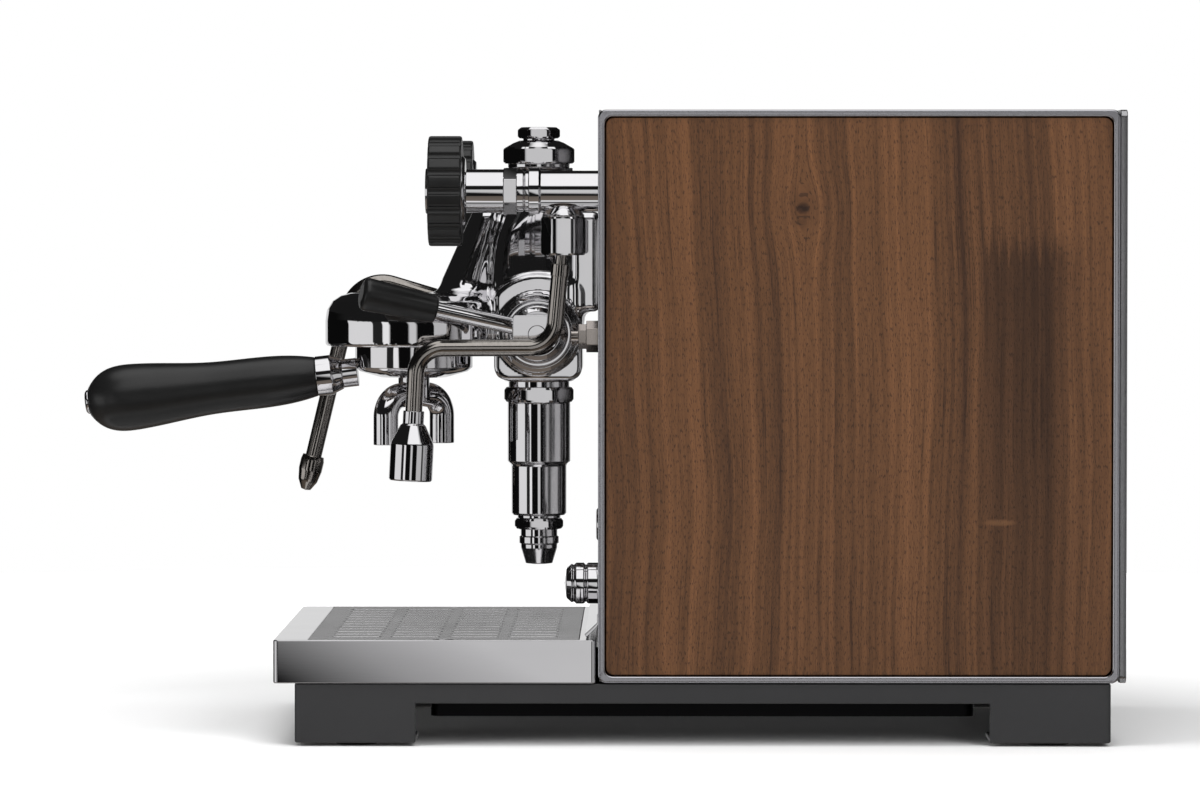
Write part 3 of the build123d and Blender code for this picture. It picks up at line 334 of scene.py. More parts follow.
def put(name, mesh, finish, body, replaced, sharp_degrees=50):
    """Make a piece of a mesh that rides on a body, in the place of some of its nodes."""
    for polygon in mesh.polygons:
        polygon.use_smooth = True
    mesh.set_sharp_from_angle(angle=radians(sharp_degrees))
    mesh.materials.clear()
    mesh.materials.append(finish.material)
    piece = bpy.data.objects.new(name, mesh)
    bpy.context.scene.collection.objects.link(piece)
    flats = piece.modifiers.new("flat_faces", "WEIGHTED_NORMAL")
    flats.keep_sharp = True
    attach(piece, body)
    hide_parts(*replaced)


def clean_mesh(build, name):
    """Turn a bmesh into a mesh with no normals left over from what it was copied from."""
    mesh = bpy.data.meshes.new(name)
    build.to_mesh(mesh)
    build.free()
    for leftover in ("custom_normal", "sharp_edge", "sharp_face"):
        if leftover in mesh.attributes:
            mesh.attributes.remove(mesh.attributes[leftover])
    return mesh


def eased(node_name, width):
    """A node's shape with its corners rounded over, as an edge is after linishing."""
    build = bmesh.new()
    build.from_mesh(nodes[node_name].data)
    bmesh.ops.remove_doubles(build, verts=build.verts, dist=2e-6)
    bmesh.ops.dissolve_limit(build, angle_limit=radians(0.2), verts=build.verts, edges=build.edges)
    corners = [edge for edge in build.edges
               if len(edge.link_faces) == 2 and edge.calc_face_angle(0) > radians(34)]
    bmesh.ops.bevel(build, geom=corners, offset=width, segments=2, profile=0.5,
                    affect="EDGES", clamp_overlap=False)
    return clean_mesh(build, node_name)


def dress(node_name, width, finish, name):
    """Put an eased copy of a node in its place."""
    put(name, eased(node_name, width), finish, body_of[node_name], (node_name,))


powder_coat = Finish("powder_coat", Specular_IOR_Level=0.45)
cloud = powder_coat.noise(9.0, detail=2.0)
powder_coat.drive("Base Color", powder_coat.blend(cloud, srgb(41, 41, 42), srgb(49, 49, 50)))
powder_coat.drive("Roughness", 0.42 + 0.16 * powder_coat.noise(160.0))
powder_coat.bump(powder_coat.noise(1500.0, detail=1.0), 0.35, 0.00012)
dress("base_frame", 0.0009, powder_coat, "plinth")

pad_rubber = Finish("pad_rubber", Roughness=0.8)
pad_rubber.drive("Base Color",
                 pad_rubber.blend(pad_rubber.noise(300.0), srgb(18, 18, 18), srgb(32, 31, 30)))
pad_rubber.bump(pad_rubber.noise(2400.0), 0.4, 0.00015)
wear(pad_rubber, "foot_pads")

# ---- Folded steel panels -----------------------------------------------------------------
# Front, top and back are stainless sheet with a linished grain: front and back brushed
# upright, the top along its depth. Screws hold the back on; the floor pan is painted shade.


def brushed(name, colour, along, roughness, strength=0.25):
    """Stainless steel whose fine grain runs along one axis (0, 1 or 2)."""
    steel = Finish(name, Metallic=1.0)
    stretch = [1.0, 1.0, 1.0]
    stretch[along] = 0.012
    grain = steel.noise(2600.0, stretch, detail=4.0, roughness=0.7)
    stretch[along] = 0.05
    bands = steel.noise(160.0, stretch, detail=3.0)
    dark = tuple(channel * 0.80 for channel in colour[:3]) + (1.0,)
    steel.drive("Base Color", steel.blend(0.65 * grain + 0.35 * bands, dark, colour))
    steel.drive("Roughness", roughness - 0.06 + 0.12 * grain + 0.05 * steel.noise(14.0))
    steel.bump(grain, strength, 0.00003)
    return steel


front_steel = brushed("front_steel", srgb(196, 195, 196), 2, 0.17)
top_steel = brushed("top_steel", srgb(190, 190, 191), 1, 0.2)
back_steel = brushed("back_steel", srgb(182, 182, 184), 2, 0.25)
dress("front_panel", 0.0003, front_steel, "front_sheet")
dress("top_cover", 0.0004, top_steel, "top_sheet")
dress("rear_panel", 0.0006, back_steel, "back_sheet")
dress("panel_screws", 0.0002, back_steel, "back_screws")
# The floor pan's near black colour is painted shade: it stands in for the deep shadow under the
# cabinet.
shade_dark_pan_steel = brushed("shade_dark_pan_steel", srgb(44, 44, 46), 1, 0.45)
dress("floor_pan", 0.0003, shade_dark_pan_steel, "cabinet_floor")

# ---- Side frames and wood panels ---------------------------------------------------------
# Each side is a bent stainless rim, polished on its outer bevel, around a solid walnut
# board that is held from inside, with a thin shadow gap all round.
rim_steel = Finish("rim_steel", Metallic=1.0)
rim_cloud = rim_steel.noise(18.0, detail=3.0)
rim_steel.drive("Base Color", rim_steel.blend(rim_cloud, srgb(178, 177, 182), srgb(200, 199, 204)))
rim_steel.drive("Roughness", 0.16 + 0.06 * rim_cloud + 0.05 * rim_steel.noise(700.0))
rim_steel.bump(rim_steel.noise(900.0), 0.04, 0.00002)
for side_name in ("left", "right"):
    dress(f"side_frame_{side_name}", 0.0011, rim_steel, f"side_rim_{side_name}")


def rounded_outline(corners, steps=6):
    """Points of a closed outline of (x, y, radius) corners, each turned into an arc."""
    points = []
    count = len(corners)
    for index in range(count):
        here = Vector(corners[index][:2])
        radius = corners[index][2] if len(corners[index]) > 2 else 0.0
        back = Vector(corners[index - 1][:2]) - here
        onward = Vector(corners[(index + 1) % count][:2]) - here
        if radius <= 0 or back.length < 1e-9 or onward.length < 1e-9:
            points.append(here)
            continue
        angle = back.angle(onward)
        if angle > pi - 0.02:
            points.append(here)
            continue
        reach_out = min(radius / tan(angle / 2), 0.49 * back.length, 0.49 * onward.length)
        radius = reach_out * tan(angle / 2)
        halfway = (back.normalized() + onward.normalized()).normalized()
        centre = here + halfway * (radius / sin(angle / 2))
        first = here + back.normalized() * reach_out - centre
        last = here + onward.normalized() * reach_out - centre
        sweep = first.angle_signed(last)
        for step in range(steps + 1):
            spin = Matrix.Rotation(-sweep * step / steps, 2)
            points.append(centre + spin @ first)
    return points


def slab(low, high, axis, corner, edge):
    """A plate between two corners: rounded outline seen along an axis, with eased edges."""
    across = [index for index in range(3) if index != axis]
    u0, v0 = low[across[0]], low[across[1]]
    u1, v1 = high[across[0]], high[across[1]]
    build = bmesh.new()
    ring = []
    for u, v in rounded_outline([(u0, v0, corner), (u1, v0, corner),
                                 (u1, v1, corner), (u0, v1, corner)], 5):
        place = [0.0, 0.0, 0.0]
        place[across[0]], place[across[1]], place[axis] = u, v, low[axis]
        ring.append(build.verts.new(place))
    edges = [build.edges.new((ring[k - 1], ring[k])) for k in range(len(ring))]
    bmesh.ops.triangle_fill(build, use_beauty=True, use_dissolve=True, edges=edges)
    faces = list(build.faces)
    bmesh.ops.recalc_face_normals(build, faces=faces)
    raised = bmesh.ops.extrude_face_region(build, geom=faces)
    rise = Vector((0, 0, 0))
    rise[axis] = high[axis] - low[axis]
    lifted = [item for item in raised["geom"] if isinstance(item, bmesh.types.BMVert)]
    bmesh.ops.translate(build, verts=lifted, vec=rise)
    bmesh.ops.recalc_face_normals(build, faces=build.faces)
    rims = [rim for rim in build.edges
            if len(rim.link_faces) == 2 and rim.calc_face_angle() > radians(50)]
    bmesh.ops.bevel(build, geom=rims, offset=edge, segments=3, profile=0.5, affect="EDGES",
                    clamp_overlap=True)
    mesh = bpy.data.meshes.new("slab")
    build.to_mesh(mesh)
    build.free()
    return mesh


walnut = Finish("walnut", Coat_Weight=0.12, Coat_Roughness=0.3, Specular_IOR_Level=0.4)
axes = walnut.tree.nodes.new("ShaderNodeSeparateXYZ")
walnut.tree.links.new(walnut.place().socket, axes.inputs[0])
board_y, board_z = Value(walnut.tree, axes.outputs[1]), Value(walnut.tree, axes.outputs[2])


def grain_noise(along_y, along_z, scale, detail, roughness):
    """Noise over the board, drawn out by how slowly it changes up the grain."""
    spot = walnut.node("ShaderNodeCombineXYZ", None, {"X": along_y, "Y": along_z, "Z": 0.0})
    return walnut.node("ShaderNodeTexNoise", None, {
        "Vector": spot, "Scale": scale, "Detail": detail, "Roughness": roughness})


# The grain runs upright, drifts a little, leans, and parts round one small knot.
knot_y, knot_z = 0.1216, 0.313
off_y, off_z = board_y - knot_y, board_z - knot_z
from_knot = -1.0 * (off_z * off_z) / 0.024 ** 2 - (off_y * off_y) / 0.022 ** 2
near_knot = from_knot.math("EXPONENT", from_knot)
reach = off_y * off_y + 0.006 ** 2
parted = 0.007 * (off_y / reach.math("SQRT", reach)) * near_knot
drift = walnut.noise(4.0, (1.0, 1.0, 0.7), detail=2.0) - 0.5
sway = walnut.noise(16.0, (1.0, 1.0, 0.8), detail=1.0) - 0.5
lean = ((board_z - 0.16) * (board_z - 0.16)) * 0.16
flow = board_y - parted + 0.022 * drift + 0.0040 * sway + lean
# Growth rings, fine dark lines, broad patches, hair-thin strands and short open pores.
rings = grain_noise(flow * 60.0, board_z * 0.55, 3.4, 3.0, 0.6)
fine_lines = grain_noise(flow * 60.0, board_z * 0.55, 15.0, 2.0, 0.6)
broad = grain_noise(flow * 60.0, board_z * 0.55, 0.5, 1.0, 0.5)
strands = grain_noise(flow, board_z * 0.055, 1500.0, 3.0, 0.65)
pores = grain_noise(flow, board_z * 0.20, 1700.0, 1.0, 0.5)
dark_lines = ((0.42 - fine_lines) * 9.0).clipped()
tone = (1.0 * (rings - 0.5) + 0.65 * (broad - 0.5) + 0.55 * (strands - 0.5)
        - 0.24 * dark_lines + 0.55).clipped()
wood_colour = walnut.node("ShaderNodeValToRGB", {"stops": [
    (0.0, srgb(34, 21, 13)[:3]), (0.25, srgb(56, 35, 21)[:3]), (0.5, srgb(79, 51, 29)[:3]),
    (0.75, srgb(98, 64, 38)[:3]), (1.0, srgb(118, 79, 47)[:3])]}, {"Fac": tone})
pore_mask = ((pores - 0.565) * 11.0).clipped()
wood_colour = walnut.blend(0.62 * pore_mask, wood_colour, srgb(26, 16, 10))
# The knot, with a stain round it.
knot_size = (off_y / 0.0042) * (off_y / 0.0042) + (off_z / 0.0036) * (off_z / 0.0036)
knot_stain = (1.0 - knot_size / 16.0).clipped() * ((sway + 0.5) * 1.2)
wood_colour = walnut.blend(0.30 * knot_stain, wood_colour, srgb(40, 23, 15))
knot_mask = (1.25 - knot_size + 0.9 * (strands - 0.5)).clipped()
wood_colour = walnut.blend(0.75 * knot_mask, wood_colour, srgb(28, 16, 11))
# Heartwood darkens the rear edge of the board, most of all in a ragged tongue low down.
heart_y, tongue_y, tongue_end_y, tongue_top_z = 0.2225, 0.2265, 0.284, 0.290
heart = ((board_y - heart_y) * 700.0).clipped()
wood_colour = walnut.blend(0.16 * heart, wood_colour, srgb(38, 23, 14))
teeth = grain_noise(board_y * 300.0, 0.0, 1.0, 2.0, 0.6)
ragged_top = tongue_top_z + 0.085 * (teeth - 0.40)
darker = (((board_y - tongue_y) * 500.0).clipped()
          * ((tongue_end_y - board_y + 0.02 * drift) * 60.0).clipped())
darker = darker * ((ragged_top - board_z) * 70.0).clipped() * ((board_z + 0.05) * 3.2).clipped()
wood_colour = walnut.blend(0.54 * darker, wood_colour, srgb(26, 15, 9))
# One short pale fleck.
fleck_y, fleck_z = 0.236, 0.1304
fleck = (1.0 - ((board_y - fleck_y) / 0.011) ** 2 - ((board_z - fleck_z) / 0.0022) ** 2).clipped()
wood_colour = walnut.blend(0.35 * fleck, wood_colour, srgb(122, 84, 52))
walnut.drive("Base Color", wood_colour)
walnut.drive("Roughness", 0.40 + 0.16 * strands - 0.05 * rings + 0.12 * pore_mask)
walnut.bump(0.6 * strands + 0.9 * (1 - pore_mask), 0.35, 0.00010)
board_corner, board_edge = 0.0046, 0.0007
for side_name in ("left", "right"):
    low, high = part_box(f"wood_panel_{side_name}")
    board = slab(low, high, 0, board_corner, board_edge)
    put(f"walnut_board_{side_name}", board, walnut, "chassis",
        (f"wood_panel_{side_name}",))

# ---- Tank, lid and works -----------------------------------------------------------------
# The water tank lifts out of the top behind the cabinet's cover. Its lid and cradle, the
# boiler, pump, pipes and wiring box are plain workshop parts that the panels hide.
dress("tank_lid", 0.0004, top_steel, "tank_lid_sheet")
tank_plastic = Finish("tank_plastic", Alpha=0.42, IOR=1.49, Roughness=0.12)
tank_plastic.drive("Base Color", tank_plastic.blend(tank_plastic.noise(40.0), srgb(170, 178, 184),
                                                    srgb(188, 194, 200)))
tank_plastic.bump(tank_plastic.noise(60.0), 0.2, 0.0002)
wear(tank_plastic, "water_tank")


def moulded(name, dark, light, roughness, pebble=900.0, depth=0.00006):
    """Moulded plastic with a faint pebbled skin."""
    plastic = Finish(name, Specular_IOR_Level=0.5)
    plastic.drive("Base Color", plastic.blend(plastic.noise(60.0), dark, light))
    plastic.drive("Roughness", roughness - 0.06 + 0.12 * plastic.noise(240.0))
    plastic.bump(plastic.noise(pebble, detail=1.0), 0.4, depth)
    return plastic


housing_plastic = moulded("housing_plastic", srgb(26, 26, 27), srgb(36, 36, 37), 0.5)
wear(housing_plastic, "tank_base", "control_box", "pump")
pipe_copper = Finish("pipe_copper", Metallic=1.0)
pipe_copper.drive("Base Color", pipe_copper.blend(pipe_copper.noise(50.0), srgb(176, 112, 76),
                                                  srgb(206, 142, 96)))
pipe_copper.drive("Roughness", 0.22 + 0.18 * pipe_copper.noise(90.0))
wear(pipe_copper, "pipes")
boiler_steel = brushed("boiler_steel", srgb(170, 168, 164), 0, 0.3)
wear(boiler_steel, "boiler")
socket_gloss = moulded("socket_gloss", srgb(12, 12, 13), srgb(18, 18, 19), 0.22, depth=0.00002)
dress("power_inlet", 0.0004, socket_gloss, "mains_inlet")

# ---- Drip tray and grate -----------------------------------------------------------------
# A deep-drawn stainless tray, polished like a mirror outside, slides out forwards. The
# slotted grate that cups stand on is brushed sheet, and lifts out by its finger notches.
tray_steel = Finish("tray_steel", Metallic=1.0)
smear = tray_steel.noise(26.0, (1.0, 0.35, 1.0), detail=3.0)
tray_steel.drive("Base Color", tray_steel.blend(smear, srgb(206, 205, 207), srgb(222, 221, 223)))
tray_steel.drive("Roughness", 0.012 + 0.02 * smear)
tray_steel.bump(tray_steel.noise(1800.0, (1.0, 0.02, 1.0)), 0.06, 0.00002)
dress("drip_tray", 0.0007, tray_steel, "tray_shell")
grate_steel = brushed("grate_steel", srgb(244, 243, 244), 1, 0.22)
dress("tray_grate", 0.0003, grate_steel, "tray_cup_grate")
dress("splash_guard", 0.0002, tray_steel, "splash_lip")

# ---- Brew group --------------------------------------------------------------------------
# A lever group cast in brass, ground and chrome plated: flange, neck, upright column, cam
# housing and the bell that the portafilter locks into, all one casting with soft fillets.
chrome = Finish("chrome", Metallic=1.0)
haze = chrome.noise(22.0, detail=2.0)
chrome.drive("Base Color", chrome.blend(haze, srgb(214, 213, 215), srgb(228, 227, 229)))
chrome.drive("Roughness", 0.02 + 0.035 * haze)
chrome.bump(chrome.noise(30.0, detail=1.0), 0.05, 0.0003)
# The casting's own sizes are in millimetres.
column_y, bell_y, cam_z = -34.3, -110.0, 238.0


def soft_join(first, second, fillet):
    """The union of two distance fields with a fillet between them."""
    mix = np.clip(0.5 + 0.5 * (second - first) / fillet, 0, 1)
    return second * (1 - mix) + first * mix - fillet * mix * (1 - mix)


def soft_clip(first, second, ease):
    """The part common to two distance fields, with its corner eased."""
    return -soft_join(-first, -second, ease)


def rounded_box(x, y, z, low, high, radius):
    """Distance to a box with rounded edges, between two corners."""
    out = [np.abs(v - (a + b) / 2) - (b - a) / 2 + radius
           for v, a, b in zip((x, y, z), low, high)]
    return (np.sqrt(sum(np.maximum(side, 0) ** 2 for side in out))
            + np.minimum(np.maximum.reduce(out), 0) - radius)


def outline_distance(across, height, outline):
    """Distance to a closed outline of (across, height) points."""
    nearest = np.full(across.shape, 1e9)
    inside = np.zeros(across.shape, bool)
    for k in range(len(outline)):
        (ax, ay), (bx, by) = outline[k - 1], outline[k]
        ex, ey = bx - ax, by - ay
        along = np.clip(((across - ax) * ex + (height - ay) * ey) / (ex * ex + ey * ey), 0, 1)
        nearest = np.minimum(nearest, np.hypot(across - ax - ex * along, height - ay - ey * along))
        if ey:
            inside ^= ((ay > height) != (by > height)) & (across < ex * (height - ay) / ey + ax)
    return np.where(inside, -nearest, nearest)


def round_cone(x, y, z, start, end, start_radius, end_radius):
    """Distance to a tapered bar with round ends, in the plane x = 0."""
    ey, ez = end[0] - start[0], end[1] - start[1]
    along = np.clip(((y - start[0]) * ey + (z - start[1]) * ez) / (ey * ey + ez * ez), 0, 1)
    gap = np.sqrt(x * x + (y - start[0] - ey * along) ** 2 + (z - start[1] - ez * along) ** 2)
    return gap - start_radius - (end_radius - start_radius) * along


cap_foot_z = 337.5
column_z = [206, 208.6, 213, 232, 245, 258, 268, 280, 292, 302, 310, 320, 327, 334, 340]
column_half = [20.5, 20.5, 24.4, 24.6, 27.5, 29.0, 29.0, 28.3, 26.4, 23.6, 21.0, 18.6, 18.2,
               20.5, 20.5]
bell_outline = [(0, 262), (38, 262), (44, 260.4), (49.2, 257), (52.6, 251.5), (53.5, 245),
                (53.5, 231.2), (52.3, 230), (42.9, 230), (41.8, 231), (41.8, 238.6),
                (36.4, 238.6), (36.4, 249.8), (0, 249.8)]


def casting(x, y, z):
    """Distance to the whole casting."""
    half = np.interp(z, column_z, column_half)
    flat = np.minimum(half, 25.6 - 0.15 * np.maximum(z - 250, 0))
    square = np.interp(z, [213, 236, 300, 322], [2.0, 5.0, 5.0, 2.0])
    around = (np.abs(x / flat) ** square + np.abs((y - column_y) / half) ** square) ** (1 / square)
    column = np.maximum((around - 1) * np.minimum(flat, half) * 0.9,
                        np.maximum(208.6 - z, z - cap_foot_z))
    housing = rounded_box(x, y, z, (-27.4, column_y - 26.5, 209.5), (27.4, column_y + 26.5, 290), 2.5)
    barrel = np.hypot(y - column_y, z - cam_z)
    housing = soft_clip(housing, barrel - 35.6, 3.0)
    solid = soft_join(column, housing, 2.0)
    bell = outline_distance(np.hypot(x, y - bell_y), z, bell_outline)
    neck = soft_join(round_cone(x, y, z, (-66.5, 306), (-79, 266), 9.4, 14.5),
                     round_cone(x, y, z, (column_y, 326), (-61, 320), 10.5, 9.2), 5.0)
    solid = soft_join(solid, soft_join(neck, bell, 9.0), 4.0)
    bridge = rounded_box(x, y, z, (-18, -92, 232), (18, column_y, 250), 6.0)
    solid = soft_join(solid, np.maximum(bridge, 44.5 - np.hypot(x, y - bell_y)), 3.0)
    flange = rounded_box(x, y, z, (-30, -14.5, 251), (30, 3.2, 311), 4.5)
    solid = soft_join(solid, flange, 5.0)
    boss = np.maximum(barrel - 25.0, np.maximum(x - 33.0, -30.0 - x))
    return soft_join(solid, boss, 1.2)


def cast_surface(field, low, high, cell):
    """A mesh of quads on the surface of a distance field, in metres, drawn on to it exactly."""
    ticks = [np.arange(a, b + cell, cell) for a, b in zip(low, high)]
    value = field(*np.meshgrid(*ticks, indexing="ij"))
    total = np.zeros(tuple(size - 1 for size in value.shape) + (3,))
    crossings = np.zeros(total.shape[:3])
    offsets = np.array([(i, j, k) for i in (0, 1) for j in (0, 1) for k in (0, 1)])
    shifted = {tuple(o): value[o[0]:value.shape[0] - 1 + o[0], o[1]:value.shape[1] - 1 + o[1],
                               o[2]:value.shape[2] - 1 + o[2]] for o in offsets}
    for start in offsets:
        for axis in range(3):
            if start[axis] == 0:
                end = start.copy()
                end[axis] = 1
                first, second = shifted[tuple(start)], shifted[tuple(end)]
                cut = (first < 0) != (second < 0)
                share = np.where(cut, first / np.where(cut, first - second, 1), 0)
                spot = start.astype(float)
                for k in range(3):
                    total[..., k] += np.where(cut, spot[k] + (share if k == axis else 0), 0)
                crossings += cut
    live = crossings > 0
    number = np.full(live.shape, -1)
    number[live] = np.arange(live.sum())
    cells = np.argwhere(live)
    points = np.array([t[0] for t in ticks]) + (cells + total[live] / crossings[live][:, None]) * cell
    quads = []
    for axis in range(3):
        u, v = [k for k in range(3) if k != axis]
        back, onward = [slice(1, -1)] * 3, [slice(1, -1)] * 3
        back[axis], onward[axis] = slice(0, -1), slice(1, None)
        first, second = value[tuple(back)], value[tuple(onward)]
        where = np.argwhere((first < 0) != (second < 0))
        outward = first[tuple(where.T)] < 0
        where[:, u] += 1
        where[:, v] += 1
        corners = []
        for du, dv in ((-1, -1), (0, -1), (0, 0), (-1, 0)):
            spot = where.copy()
            spot[:, u] += du
            spot[:, v] += dv
            corners.append(number[tuple(spot.T)])
        corners = np.stack(corners, 1)
        flip = outward if axis != 1 else ~outward
        corners[~flip] = corners[~flip][:, ::-1]
        quads.append(corners)
    nudge = 0.02
    for _ in range(3):
        height = field(*points.T)
        slope = np.stack([field(*(points + nudge * np.eye(3)[k]).T) - height
                          for k in range(3)], 1) / nudge
        points = points - slope * (height / np.maximum((slope ** 2).sum(1), 0.2))[:, None]
    mesh = bpy.data.meshes.new("cast")
    mesh.from_pydata((points / 1000).tolist(), [], np.concatenate(quads).tolist())
    return mesh


cell_mm = 1.1
group_mesh = cast_surface(casting, (-56, -166, 204), (57, 6, 341), cell_mm)
put("group_casting", group_mesh, chrome, "chassis", ("group_body",), 60)


def basis(axis):
    """Two directions square to an axis."""
    axis = Vector(axis).normalized()
    side = axis.cross(Vector((0, 0, 1)))
    if side.length < 0.1:
        side = Vector((1, 0, 0))
    side.normalize()
    return side, axis.cross(side), axis


def turned(start, axis, profile, shape=None):
    """A mesh turned about an axis. The profile is (radius, run, corner) from one end to the
    other; shape(angle, radius) may change the radius, as the flats of a nut do."""
    around_steps = 96
    side, up, axis = basis(axis)
    outline = rounded_outline(list(profile) + [(0, profile[-1][1]), (0, profile[0][1])])
    ring_profile = [tuple(point) for point in outline if point[0] > 1e-7]
    vertices = []
    start = Vector(start)
    for radius, run in ring_profile:
        for step in range(around_steps):
            angle = 2 * pi * step / around_steps
            width = shape(angle, radius) if shape else radius
            vertices.append(start + axis * run + (side * cos(angle) + up * sin(angle)) * width)
    faces = []
    rings = len(ring_profile)
    for ring in range(rings - 1):
        onward = ring + 1
        for step in range(around_steps):
            follow = (step + 1) % around_steps
            faces.append((ring * around_steps + step, ring * around_steps + follow,
                          onward * around_steps + follow, onward * around_steps + step))
    for ring, centre_run in ((0, ring_profile[0][1]), (rings - 1, ring_profile[-1][1])):
        vertices.append(start + axis * centre_run)
        hub = len(vertices) - 1
        for step in range(around_steps):
            follow = (step + 1) % around_steps
            faces.append((ring * around_steps + step, ring * around_steps + follow, hub))
    mesh = bpy.data.meshes.new("turned")
    mesh.from_pydata(vertices, [], faces)
    part = bmesh.new()
    part.from_mesh(mesh)
    bmesh.ops.remove_doubles(part, verts=part.verts, dist=1e-6)
    bmesh.ops.recalc_face_normals(part, faces=part.faces)
    part.to_mesh(mesh)
    part.free()
    return mesh


def hexed(across_flats, sharpness=40):
    """A shape rule for turned(): six flats, with softened corners."""
    def rule(angle, radius):
        nearest = (angle + pi / 6) % (pi / 3) - pi / 6
        flat = across_flats / 2 / cos(nearest)
        if radius < flat * 0.8:
            return radius
        return (flat ** -sharpness + radius ** -sharpness) ** (-1 / sharpness)
    return rule


def joined(*meshes):
    """One mesh of several."""
    whole = bmesh.new()
    for mesh in meshes:
        whole.from_mesh(mesh)
    mesh = bpy.data.meshes.new("joined")
    whole.to_mesh(mesh)
    whole.free()
    return mesh


def bar_part(profile, start, axis=(0, 0, 1), flats=None):
    """A part turned from bar, or from hexagon bar; every size is in millimetres."""
    return turned([size / 1000 for size in start], axis,
                  [(radius / 1000, run / 1000, corner / 1000) for radius, run, corner in profile],
                  hexed(flats / 1000) if flats else None)


# The cap and its plug close the column, and the long chamber below holds the preinfusion
# valve. Cap, plug, chamber, nozzle and the cam's gland are screwed into the casting.
def on_column(profile, base_z, flats=None):
    """A turned part on the column's axis."""
    return bar_part(profile, (0, column_y, base_z), flats=flats)


cap = on_column([
    (18.6, 0, 0.6), (18.6, 2.4, 0.5), (20.4, 2.6, 0.6), (21.9, 3.6, 0.9), (21.9, 11.2, 0.9),
    (20.0, 12.4, 0.6), (15.0, 15.2, 4), (11.6, 16.5, 1.5)], cap_foot_z, 37.8)
plug = on_column([
    (9.5, 0, 0.2), (9.5, 1.0, 0.3), (11.6, 1.3, 0.5), (13.0, 2.4, 0.8), (13.0, 6.4, 1.0),
    (10.6, 8.0, 0.8)], 354.0, 22.5)
chamber = joined(
    on_column([(18.6, -0.5, 0.2), (20.0, 0.2, 0.6), (21.3, 1.6, 0.8), (21.3, 7.4, 0.8),
               (19.6, 9.0, 0.5), (18.4, 9.2, 0.2), (18.4, 12.6, 0.2)], 196.0, 36.9),
    on_column([(13.0, 0, 0.4), (13.0, 1.8, 0.3), (15.6, 1.9, 0.4), (16.6, 3.0, 0.8),
               (16.65, 31.6, 0.8), (17.2, 32.9, 0.6), (19.0, 34.4, 1.2), (19.0, 69.6, 0.6),
               (18.4, 70.6, 0.3)], 125.7))
nozzle = joined(
    on_column([(12.4, 0, 0.3), (13.6, 0.3, 0.4), (14.9, 1.7, 0.7), (14.9, 5.0, 0.7),
               (13.4, 6.6, 0.3)], 119.0, 25.8),
    on_column([(5.4, 6.0, 0.2), (5.4, 0.6, 0.3), (6.2, 0, 0.5), (8.2, 0.4, 0.6), (11.0, 9.6, 1.5),
               (11.1, 12.0, 0.5), (12.0, 12.6, 0.3), (12.0, 16.4, 0.3), (11.1, 16.9, 0.3),
               (11.1, 21.4, 0.2)], 98.0))
gland = bar_part([
    (23.6, -3.0, 0.3), (23.6, -0.6, 0.8), (20.6, 0.5, 0.8), (19.4, -0.9, 0.5), (18.0, -0.9, 0.5),
    (17.2, 1.0, 0.6), (16.6, 4.2, 1.4), (13.4, 5.4, 1.6), (9.0, 5.2, 0.5), (7.4, 4.6, 0.4),
    (5.3, 4.6, 0.2)], (34.5, column_y, cam_z), (1, 0, 0))
for piece_name, mesh, node_name in (
        ("column_cap", cap, "group_cap"), ("column_plug", plug, "cap_plug"),
        ("lower_chamber", chamber, "infusion_chamber"), ("drain_tip", nozzle, "drain_nozzle"),
        ("cam_gland_nut", gland, "cam_gland")):
    put(piece_name, mesh, chrome, "chassis", (node_name,), 40)
wear(chrome, "sensor_plug")
wear(pad_rubber, "group_gasket")
wear(grate_steel, "shower_screen")

# ---- Lever -------------------------------------------------------------------------------
# The cam shaft turns a clamped hub, into which the lever rod is screwed. The grip is black
# bakelite pressed on the rod's end.
wear(chrome, "lever_shaft")
dress("lever_arm", 0.0005, chrome, "lever_rod")
bakelite = moulded("bakelite", srgb(13, 13, 13), srgb(22, 22, 22), 0.34, pebble=1500.0, depth=0.00003)
dress("lever_grip", 0.0005, bakelite, "lever_handle")

# ---- Portafilter -------------------------------------------------------------------------
# A chromed brass cup with a screwed-in bakelite handle, a double spout under it and a
# pressed steel basket in it.
dress("portafilter_body", 0.0004, chrome, "portafilter_cup")
dress("portafilter_grip", 0.0005, bakelite, "portafilter_handle")
dress("grip_cap", 0.0004, chrome, "handle_end_cap")
dress("spout", 0.0004, chrome, "double_spout")
basket_steel = brushed("basket_steel", srgb(180, 180, 180), 2, 0.2)
wear(basket_steel, "filter_basket")

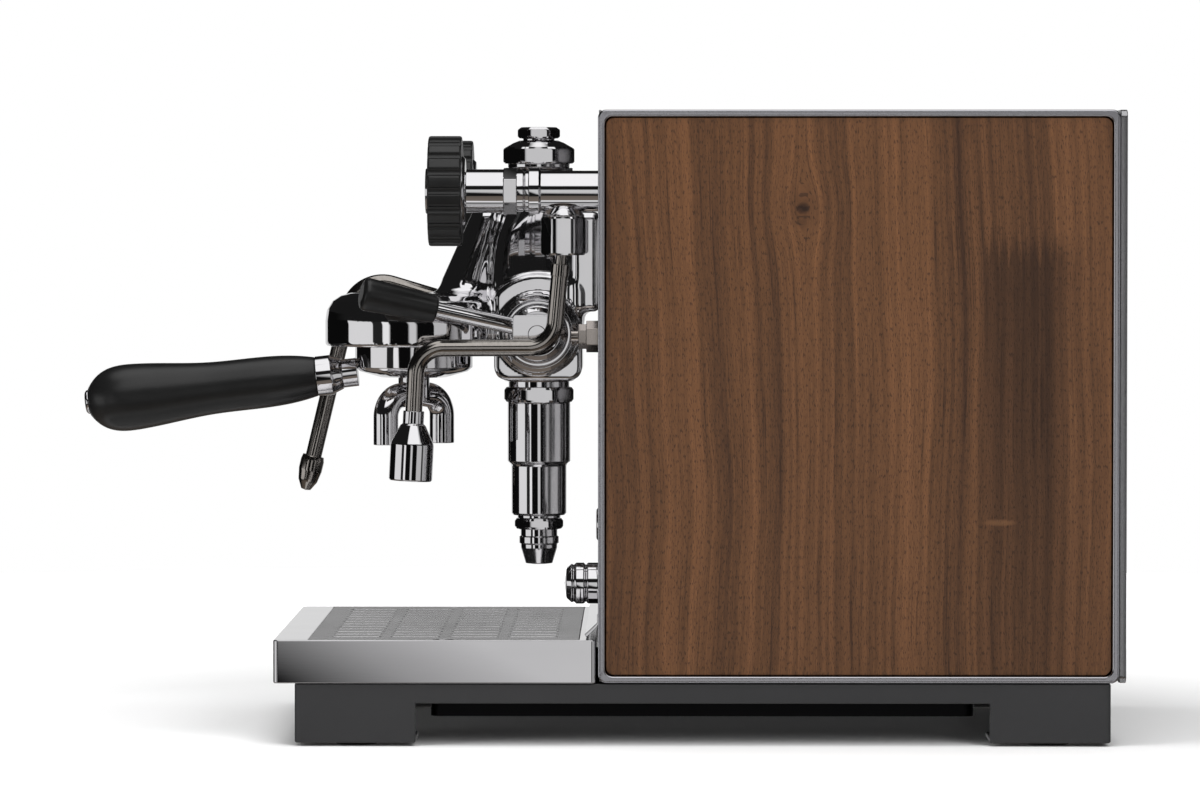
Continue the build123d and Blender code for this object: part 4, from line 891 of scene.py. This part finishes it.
# ---- Taps --------------------------------------------------------------------------------
# Steam on the left and water on the right: a turned and plated brass valve through the
# front panel, a stacked bonnet, and a fluted bakelite knob on the valve stem.
for tap_side in ("left", "right"):
    dress(f"valve_body_{tap_side}", 0.0004, chrome, f"valve_tube_{tap_side}")
    dress(f"valve_bonnet_{tap_side}", 0.0003, chrome, f"valve_stack_{tap_side}")
    nut_low, nut_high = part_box(f"outlet_nut_{tap_side}")
    nut_middle = (nut_low + nut_high) / 2
    nut_rise = nut_high.z - nut_low.z
    nut = turned((nut_middle.x, nut_middle.y, nut_low.z), (0, 0, 1), [
        (0.0086, 0.0012, 0), (0.0086, 0.0, 0.0003), (0.0124, 0.0, 0.0005),
        (0.0135, 0.0012, 0.0006), (0.0135, nut_rise - 0.0012, 0.0006),
        (0.0124, nut_rise, 0.0005), (0.0100, nut_rise, 0.0003)], hexed(0.0234, 26))
    put(f"wand_nut_{tap_side}", nut, chrome, "chassis", (f"outlet_nut_{tap_side}",), 40)
    dress(f"knob_{tap_side}", 0.0007, bakelite, f"tap_knob_{tap_side}")
    dress(f"knob_stem_{tap_side}", 0.0003, chrome, f"tap_stem_{tap_side}")
seat_white = moulded("seat_white", srgb(206, 204, 198), srgb(220, 218, 212), 0.35)
wear(seat_white, "wand_seat_left", "wand_seat_right")

# ---- Steam and water wands ---------------------------------------------------------------
# Stainless tube bent cold, with a ball that swivels in the tap's nut. A four-hole tip ends
# the steam wand, a stepped diffuser the water wand.
wand_steel = Finish("wand_steel", Metallic=1.0)
rubbed = wand_steel.noise(600.0, (1.0, 1.0, 0.06), detail=3.0)
wand_steel.drive("Base Color", wand_steel.blend(rubbed, srgb(146, 141, 136), srgb(176, 171, 166)))
wand_steel.drive("Roughness", 0.09 + 0.10 * rubbed)
wand_steel.bump(rubbed, 0.1, 0.00003)
dress("steam_wand", 0.0002, wand_steel, "steam_tube")
dress("steam_tip", 0.0002, wand_steel, "steam_nozzle")
dress("water_wand", 0.0002, wand_steel, "water_tube")
dress("water_diffuser", 0.0003, chrome, "water_nozzle")

# ---- Controls ----------------------------------------------------------------------------
# A lit push button in a chromed bezel, a turned selector below it, and the elbow that
# feeds the group, all through the front panel.
dress("button_bezel", 0.0003, chrome, "button_ring")
button_gloss = moulded("button_gloss", srgb(14, 14, 15), srgb(22, 22, 24), 0.18, depth=0.00001)
dress("power_button", 0.0003, button_gloss, "power_push")
dress("selector_knob", 0.0004, chrome, "selector_cap")
fitting_steel = brushed("fitting_steel", srgb(190, 182, 176), 1, 0.13)
dress("feed_fitting", 0.0003, fitting_steel, "feed_elbow")
